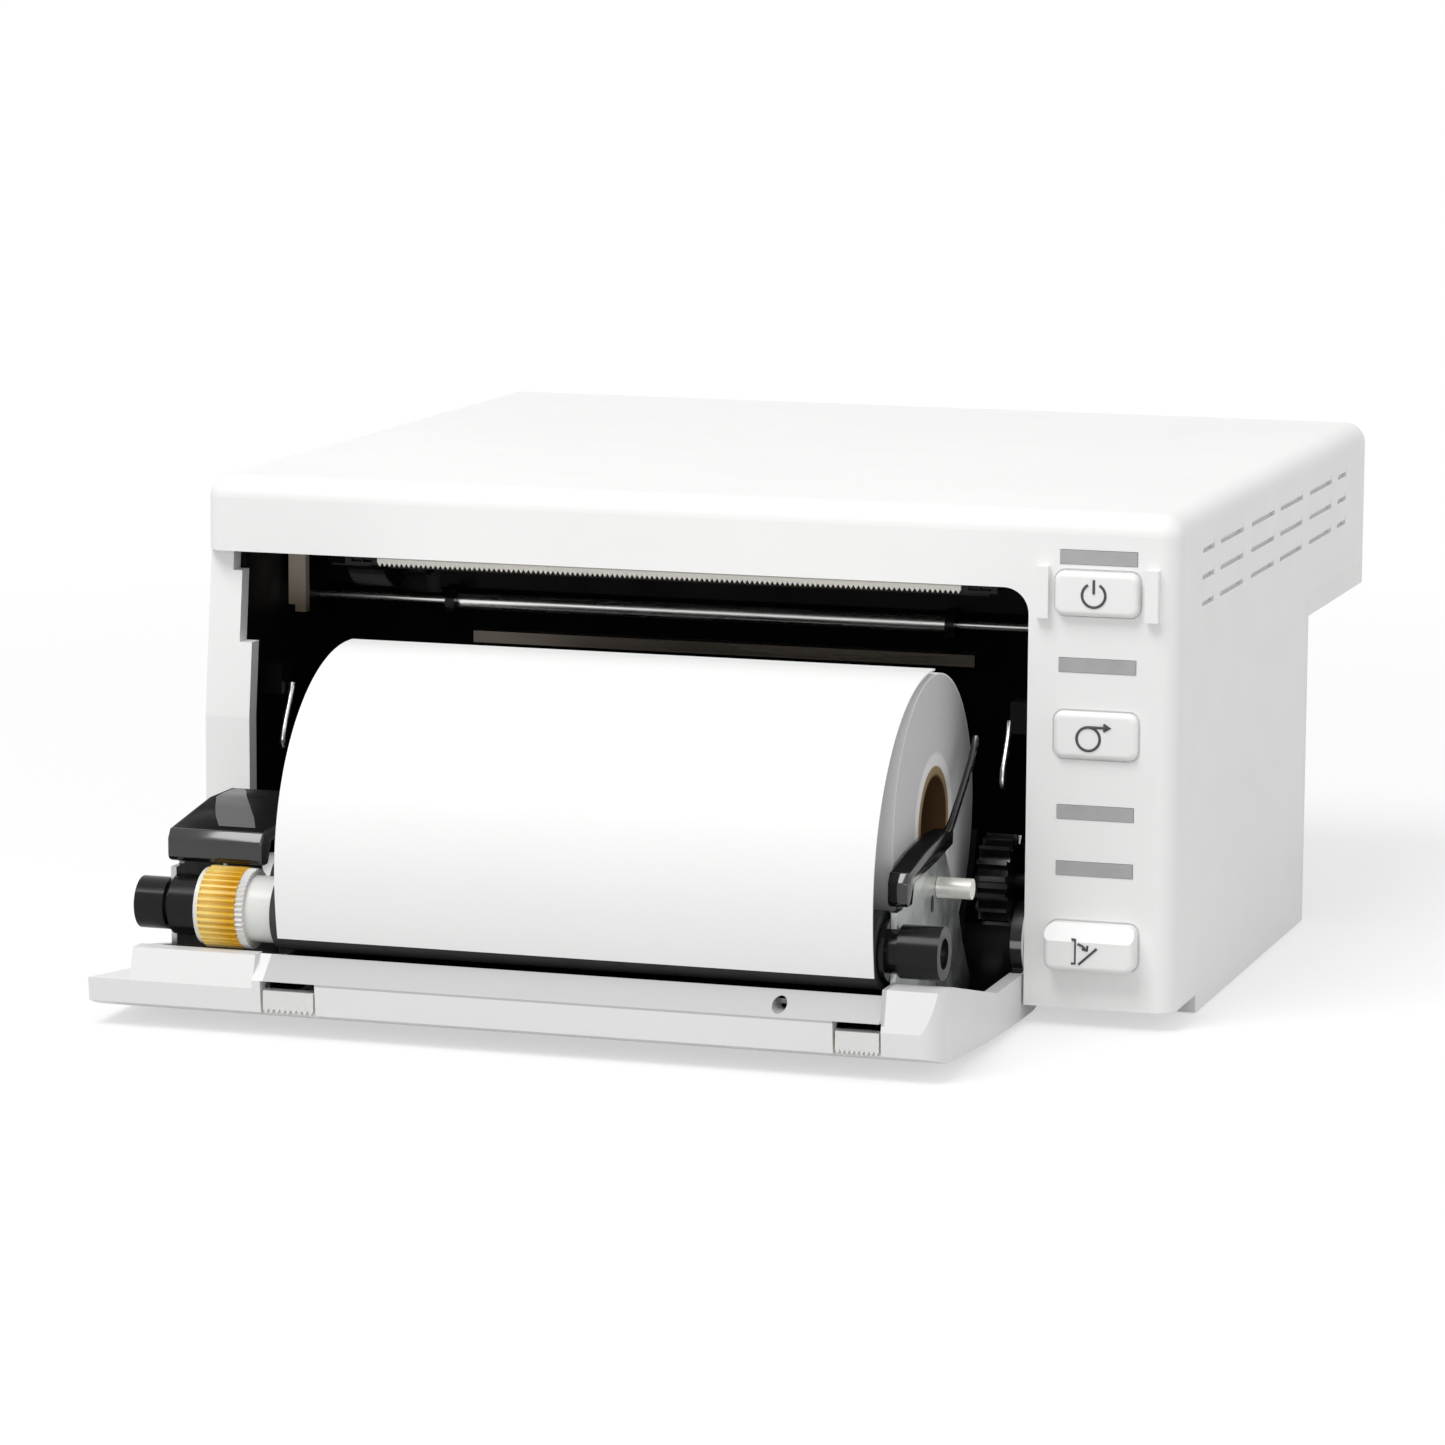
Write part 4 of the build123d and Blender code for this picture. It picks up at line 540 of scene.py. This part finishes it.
def tail_rows(low, high):
    """Each row's place (y, z) and outward direction: level lead, wide bend, then a drop that curls in."""
    top = high[2] - TAIL_THICK
    centre_y = low[1] + TAIL_THICK + TAIL_RADIUS
    centre_z = top - TAIL_RADIUS
    for step in range(TAIL_LEAD_STEPS):
        yield centre_y + (high[1] - centre_y) * (1 - step / TAIL_LEAD_STEPS), top, 0, 1
    for step in range(TAIL_BEND_STEPS + 1):
        angle = math.pi / 2 * (1 + step / TAIL_BEND_STEPS)
        away, up = math.cos(angle), math.sin(angle)
        yield centre_y + TAIL_RADIUS * away, centre_z + TAIL_RADIUS * up, away, up
    for step in range(1, TAIL_CURL_STEPS + 1):
        share = step / TAIL_CURL_STEPS
        yield centre_y - TAIL_RADIUS + TAIL_CURL * share ** 2, centre_z - (centre_z - low[2]) * share, -1, 0


def make_paper_tail(looks):
    low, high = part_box("paper_tail")
    columns = [low[0] + (high[0] - low[0]) * i / TAIL_COLUMNS for i in range(TAIL_COLUMNS + 1)]
    rows = list(tail_rows(low, high))
    points = [[(x, y, z) for x in columns] for y, z, away, up in rows]
    shifts = [Vector((0, away, up)) * TAIL_THICK for y, z, away, up in rows]
    mesh = strip_mesh("paper_tail_sheet", points, shifts)
    piece = mesh_piece("paper_tail_sheet", "door", looks["thermal_paper"], mesh)
    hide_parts("paper_tail")


# Paper holders
ARC_STEPS = 6
HOLDER_FRONT = -34.6
HOLDER_LIP = 21.6
HOLDER_TOP = 26.1
HOLDER_PEAK = 28.1
HOLDER_KINK = -20.0
BAND_HIGH = 1.3
BAND_DEEP = 0.85
LEFT_SPAN = (-61.4, -47.6)
RIGHT_SPAN = (39.75, 42.5)
ARM_SPAN = (41.6, 42.4)
# Sinking and thickness of the panel that stands in for a reflection on the left holder: a painted reflection
REFLECTION_PANEL_SUNK = 0.06
REFLECTION_PANEL_THICK = 0.13 * MM
UPWARD = 0.97


def rounded(corners):
    """The outline through corners of (depth, height, radius), each turned on an arc."""
    points = []
    for i, (depth, height, radius) in enumerate(corners):
        here = Vector((depth, height))
        before = (Vector(corners[i - 1][:2]) - here).normalized()
        after = (Vector(corners[(i + 1) % len(corners)][:2]) - here).normalized()
        if radius == 0:
            points.append(here)
            continue
        half = before.angle(after) / 2
        centre = here + (before + after).normalized() * (radius / math.sin(half))
        start = here + before * (radius / math.tan(half)) - centre
        end = here + after * (radius / math.tan(half)) - centre
        steps = max(1, round(ARC_STEPS * start.angle(end) / (math.pi / 2)))
        for step in range(steps + 1):
            points.append(centre + start.slerp(end, step / steps).normalized() * start.length)
    return points


def prism(name, corners, left, right, edge):
    """A solid with a rounded outline seen along X, and a small round on its two side edges."""
    form = bmesh.new()
    loft(form, *[[at(x, *point) for point in rounded(corners)] for x in (left, right)])
    bmesh.ops.recalc_face_normals(form, faces=form.faces)
    rims = [rim for rim in form.edges if any(len(face.verts) > 4 for face in rim.link_faces)]
    bmesh.ops.bevel(form, geom=rims, offset=edge * MM, segments=2, profile=0.5, affect="EDGES",
                    clamp_overlap=True)
    return finish_mesh(name, form)


def matt_top(piece, look):
    """Faces that look straight up get a second, matt material."""
    piece.data.materials.append(look)
    for face in piece.data.polygons:
        if face.normal.z > UPWARD:
            face.material_index = 1


def roof_height(depth):
    """The height of the left holder's top at a depth: a slope, then level."""
    slope_start = HOLDER_FRONT + BAND_DEEP
    share = min(1, (depth - slope_start) / (HOLDER_KINK - slope_start))
    return HOLDER_TOP + (HOLDER_PEAK - HOLDER_TOP) * share


def make_holder_reflection_panel(looks):
    """A polished panel laid on the holder's matt top, which stands in for a reflection there: a painted
    reflection.
    """
    rows = [(-32.0, -54.9, -49.6), (-28.0, -57.0, -51.4), (-24.0, -58.7, -53.5),
            (HOLDER_KINK, -60.2, -55.6), (-17.0, -60.5, -57.0), (-14.5, -60.6, -58.0), (-12.9, -60.2, -58.9)]
    points = [[at(x, depth, roof_height(depth) - REFLECTION_PANEL_SUNK) for x in (left, right)]
              for depth, left, right in rows]
    mesh = strip_mesh("left_holder_reflection_panel", points, [Vector((0, 0, REFLECTION_PANEL_THICK))] * len(rows))
    mesh_piece("left_holder_reflection_panel", "door", looks["black_polished"], mesh)


def make_left_holder(looks):
    front_round = [(HOLDER_FRONT, HOLDER_LIP, 1.1), (HOLDER_FRONT, HOLDER_TOP - BAND_HIGH, 0.5),
                   (HOLDER_FRONT + BAND_DEEP, HOLDER_TOP, 0.4)]
    back = [(HOLDER_KINK, HOLDER_PEAK, 3), (-11.7, HOLDER_PEAK, 1.5), (-6.9, 22.1, 0.4), (-8.6, 22.1, 0.4),
            (-12.0, 26.5, 0.4), (HOLDER_KINK, 25.5, 0), (-31.0, 24.25, 0), (-32.2, HOLDER_LIP, 0)]
    mesh = prism("left_paper_holder", front_round + back, *LEFT_SPAN, 0.4)
    piece = mesh_piece("left_paper_holder", "door", looks["black_gloss"], mesh)
    matt_top(piece, looks["black_matt"])
    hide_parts("holder_left")
    make_holder_reflection_panel(looks)


def make_right_holder(looks):
    cap = [(HOLDER_FRONT, HOLDER_LIP, 0.9), (HOLDER_FRONT, HOLDER_TOP - BAND_HIGH, 0.4),
           (HOLDER_FRONT + BAND_DEEP, HOLDER_TOP, 0.3), (-26.0, 27.5, 0), (-17.1, 28.4, 0),
           (-11.9, 28.3, 0.4), (-12.2, 26.25, 0), (HOLDER_KINK, 25.25, 0), (-31.0, 24.25, 0),
           (-32.2, HOLDER_LIP, 0)]
    mesh = prism("right_paper_holder", cap, *RIGHT_SPAN, 0.25)
    piece = mesh_piece("right_paper_holder", "door", looks["black_gloss"], mesh)
    matt_top(piece, looks["black_matt"])
    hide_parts("holder_right")
    arm = [(-14.5, 28.3, 0), (-11.8, 29.3, 0), (-6.4, 32.8, 0), (-1.9, 36.1, 0), (0.6, 39.0, 0),
           (1.2, 38.6, 0), (-1.3, 35.5, 0), (-5.9, 32.2, 0), (-11.3, 28.3, 0), (-13.5, 27.0, 0)]
    mesh = prism("right_holder_arm", arm, *ARM_SPAN, 0.1)
    mesh_piece("right_holder_arm", "door", looks["black_gloss"], mesh)


# Hoods in the side vents, and skirts round the buttons
VENT_TOP = 64.1
VENT_PITCH = 3.65
VENT_HIGH = 1.3
VENT_OPEN = 0.6
VENT_ROWS = 3
VENT_SHARES = [(0.11, 0.167), (0.198, 0.314), (0.356, 0.478), (0.511, 0.634), (0.674, 0.802),
               (0.838, 0.888)]
HOOD_BACK = 0.79
HOOD_EDGE = 0.12
HOOD_FACE = 0.06
CASE_DEPTH = 125.0
CASE_HALF = 70.0
BUTTON_X = 58.9
BUTTON_CORNER = 1.3
SKIRT_OUT = 0.24
SKIRT_SET = 0.3
SKIRT_THICK = 0.6
# Name, height of the middle, width and tallness of each button
BUTTONS = [("power", 59.2, 11.6, 6.0), ("feed", 40.0, 11.6, 6.4), ("open", 11.3, 12.4, 6.3)]


def make_louvres(looks):
    """Each slot in the case's sides has a small hood over its upper half."""
    form = bmesh.new()
    for side in (-1, 1):
        for row in range(VENT_ROWS):
            low = VENT_TOP - row * VENT_PITCH - VENT_HIGH / 2 + VENT_OPEN
            high = low + VENT_HIGH - VENT_OPEN
            outline = [(HOOD_BACK, low + 0.15), (HOOD_EDGE, low), (HOOD_FACE, low + 0.08),
                       (HOOD_FACE, high), (HOOD_BACK, high)]
            for ends in VENT_SHARES:
                loft(form, *[[at(side * (CASE_HALF - deep), share * CASE_DEPTH, z) for deep, z in outline]
                             for share in ends])
    mesh = finish_mesh("vent_louvres", form)
    mesh_piece("vent_louvres", "case", looks["case_white"], mesh)


def make_button_skirts(looks):
    """A white skirt stands behind the gap round each button."""
    for name, height, width, tall in BUTTONS:
        right, top = width / 2 + SKIRT_OUT, tall / 2 + SKIRT_OUT
        corners = [(-right, -top), (right, -top), (right, top), (-right, top)]
        outline = rounded([(x, z, BUTTON_CORNER) for x, z in corners])
        form = bmesh.new()
        loft(form, *[[at(BUTTON_X + x, depth, height + z) for x, z in outline]
                     for depth in (SKIRT_SET, SKIRT_SET + SKIRT_THICK)])
        mesh_piece(name + "_button_skirt", name + "_button_body", looks["case_white"],
                   finish_mesh(name + "_button_skirt", form))


# Thin lines and wires
def stroke(name, body, look, runs, radius, smooth=False):
    """One curve with a round section along each run of points."""
    curve = bpy.data.curves.new(name, "CURVE")
    curve.dimensions = "3D"
    curve.bevel_depth = radius * MM
    curve.bevel_resolution = 3
    curve.use_fill_caps = True
    for run in runs:
        spline = curve.splines.new("NURBS" if smooth else "POLY")
        spline.points.add(len(run) - 1)
        for point, place in zip(spline.points, run):
            point.co = (*at(*place), 1)
        if smooth:
            spline.order_u = 3
            spline.use_endpoint_u = True
    curve.materials.append(look)
    piece = bpy.data.objects.new(name, curve)
    scene.collection.objects.link(piece)
    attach(piece, body)
    return piece


RING_STEPS = 28


def ring_run(x, depth, z, radius, first, last):
    """Points on an arc that faces forwards, between two angles in degrees."""
    angles = [math.radians(first + (last - first) * i / RING_STEPS) for i in range(RING_STEPS + 1)]
    return [(x + radius * math.cos(a), depth, z + radius * math.sin(a)) for a in angles]


SYMBOL_RADIUS = 0.19


def make_symbols(looks):
    """Generic pictures on the three buttons: power, feed and open the door."""
    grey = looks["symbol_grey"]
    power = -1.5
    runs = [ring_run(BUTTON_X - 0.3, power, 59.1, 1.6, 120, 420),
            [(BUTTON_X - 0.3, power, 59.3), (BUTTON_X - 0.3, power, 61.2)]]
    stroke("power_symbol", "power_button_body", grey, runs, SYMBOL_RADIUS)
    feed = -0.9
    left = BUTTON_X - 0.9
    runs = [ring_run(left, feed, 39.6, 1.6, 90, 450),
            [(left, feed, 41.2), (left + 2.9, feed, 41.2)],
            [(left + 2.1, feed, 41.65), (left + 3.0, feed, 41.2), (left + 2.1, feed, 40.75)]]
    stroke("feed_symbol", "feed_button_body", grey, runs, SYMBOL_RADIUS)
    door = -3.2
    left = BUTTON_X - 1.7
    low = 9.3
    runs = [[(left - 0.5, door, low + 3.3), (left, door, low + 3.3), (left, door, low),
             (left - 0.5, door, low)],
            [(left + 0.5, door, low - 0.1), (left + 3.0, door, low + 2.2)],
            [(left + 0.35, door, low + 2.7), (left + 1.0, door, low + 2.45), (left + 1.6, door, low + 1.9)],
            [(left + 0.95, door, low + 2.05), (left + 1.65, door, low + 1.85),
             (left + 1.7, door, low + 2.55)]]
    stroke("open_symbol", "open_button_body", grey, runs, SYMBOL_RADIUS * 0.9)


WIRE_RADIUS = 0.55
WIRE_RUN = [(13.4, 39.2), (13.3, 38.6), (12.8, 37.4), (11.6, 35.4), (10.3, 33.4), (9.6, 31.9),
            (9.5, 31.2), (9.9, 30.6)]


def make_catch_springs(looks):
    """Thin bright wires with a bent foot, each hooked over its boss."""
    for side, node in (("left", "catch_spring_left"), ("right", "catch_spring_right")):
        x = middle_of(node)[0] / MM
        run = [(x, depth, height) for depth, height in WIRE_RUN]
        piece = stroke("catch_wire_" + side, "case", looks["spring_steel"], [run], WIRE_RADIUS,
                       smooth=True)
        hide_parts(node)


# Floor, light and world
FLOOR_HALF = 9.0
SHADOW_REACH = (0.10, 0.40)
NEAR_WHITE = 0.55


def seen_straight(nodes, links):
    """1 for camera, glossy and transmission rays, 0 for those that light the object."""
    path = nodes.new("ShaderNodeLightPath")
    first = nodes.new("ShaderNodeMath")
    first.operation = "MAXIMUM"
    links.new(path.outputs["Is Camera Ray"], first.inputs[0])
    links.new(path.outputs["Is Glossy Ray"], first.inputs[1])
    both = nodes.new("ShaderNodeMath")
    both.operation = "MAXIMUM"
    links.new(first.outputs["Value"], both.inputs[0])
    links.new(path.outputs["Is Transmission Ray"], both.inputs[1])
    return both.outputs["Value"]


def whiten(look):
    """The floor looks white, wholly so away from the object, and keeps its shadow near it."""
    reach = look.node("ShaderNodeVectorMath", {0: look.space}, operation="LENGTH").outputs["Value"]
    share = look.ramp(reach, *SHADOW_REACH, NEAR_WHITE, 1.0)
    matt = look.node("ShaderNodeBsdfDiffuse", {"Color": (1, 1, 1, 1)}).outputs["BSDF"]
    white = look.node("ShaderNodeEmission", {"Color": (1, 1, 1, 1), "Strength": 1.0}).outputs["Emission"]
    visible = look.node("ShaderNodeMixShader", {0: share, 1: matt, 2: white}).outputs["Shader"]
    seen = seen_straight(look.nodes, look.links)
    mix = look.node("ShaderNodeMixShader", {0: seen, 1: look.shader.outputs["BSDF"], 2: visible})
    output = next(node for node in look.nodes if node.type == "OUTPUT_MATERIAL")
    look.links.new(mix.outputs["Shader"], output.inputs["Surface"])


def make_stage():
    mesh = bpy.data.meshes.new("floor")
    half = FLOOR_HALF
    corners = [(-half, -half, 0), (half, -half, 0), (half, half, 0), (-half, half, 0)]
    mesh.from_pydata(corners, [], [(0, 1, 2, 3)])
    floor = bpy.data.objects.new("floor", mesh)
    look = Look("floor_white", (0.62, 0.62, 0.62), 0.9, specular=0.1).mottle(3, 0.004)
    whiten(look)
    mesh.materials.append(look.material)
    scene.collection.objects.link(floor)


LIGHT_AIM = (0, 0, 0.03)
KEY_AT = (-0.20, -0.56, 0.90)
KEY_POWER = 5.75
KEY_SIZE = 0.5
SIDE_AT = (1.5, -0.1, 0.55)
SIDE_POWER = 2.4
SIDE_SIZE = 1.0
FRONT_AT = (0.25, -1.3, 0.27)
FRONT_POWER = 1.3
FRONT_SIZE = 0.4
FILL_LEVEL = 0.58


def area_light(name, position, size, power):
    data = bpy.data.lights.new(name, "AREA")
    data.size = size
    data.energy = power
    light = bpy.data.objects.new(name, data)
    turn = (Vector(LIGHT_AIM) - Vector(position)).to_track_quat("-Z", "Y").to_matrix().to_4x4()
    light.matrix_world = Matrix.Translation(position) @ turn
    scene.collection.objects.link(light)


def background(nodes, level):
    node = nodes.new("ShaderNodeBackground")
    node.inputs["Color"].default_value = (1, 1, 1, 1)
    node.inputs["Strength"].default_value = level
    return node.outputs["Background"]


def make_light():
    area_light("key_light", KEY_AT, KEY_SIZE, KEY_POWER)
    area_light("side_light", SIDE_AT, SIDE_SIZE, SIDE_POWER)
    area_light("front_light", FRONT_AT, FRONT_SIZE, FRONT_POWER)
    world = bpy.data.worlds.new("world")
    world.use_nodes = True
    nodes = world.node_tree.nodes
    links = world.node_tree.links
    nodes.clear()
    mix = nodes.new("ShaderNodeMixShader")
    links.new(seen_straight(nodes, links), mix.inputs[0])
    links.new(background(nodes, FILL_LEVEL), mix.inputs[1])
    links.new(background(nodes, 1.0), mix.inputs[2])
    output = nodes.new("ShaderNodeOutputWorld")
    links.new(mix.outputs["Shader"], output.inputs["Surface"])
    scene.world = world
    scene.view_settings.view_transform = "Standard"


make_camera()
looks = make_materials()
dress_nodes(looks)
make_paper_tail(looks)
make_left_holder(looks)
make_right_holder(looks)
make_louvres(looks)
make_button_skirts(looks)
make_symbols(looks)
make_catch_springs(looks)
make_stage()
make_light()
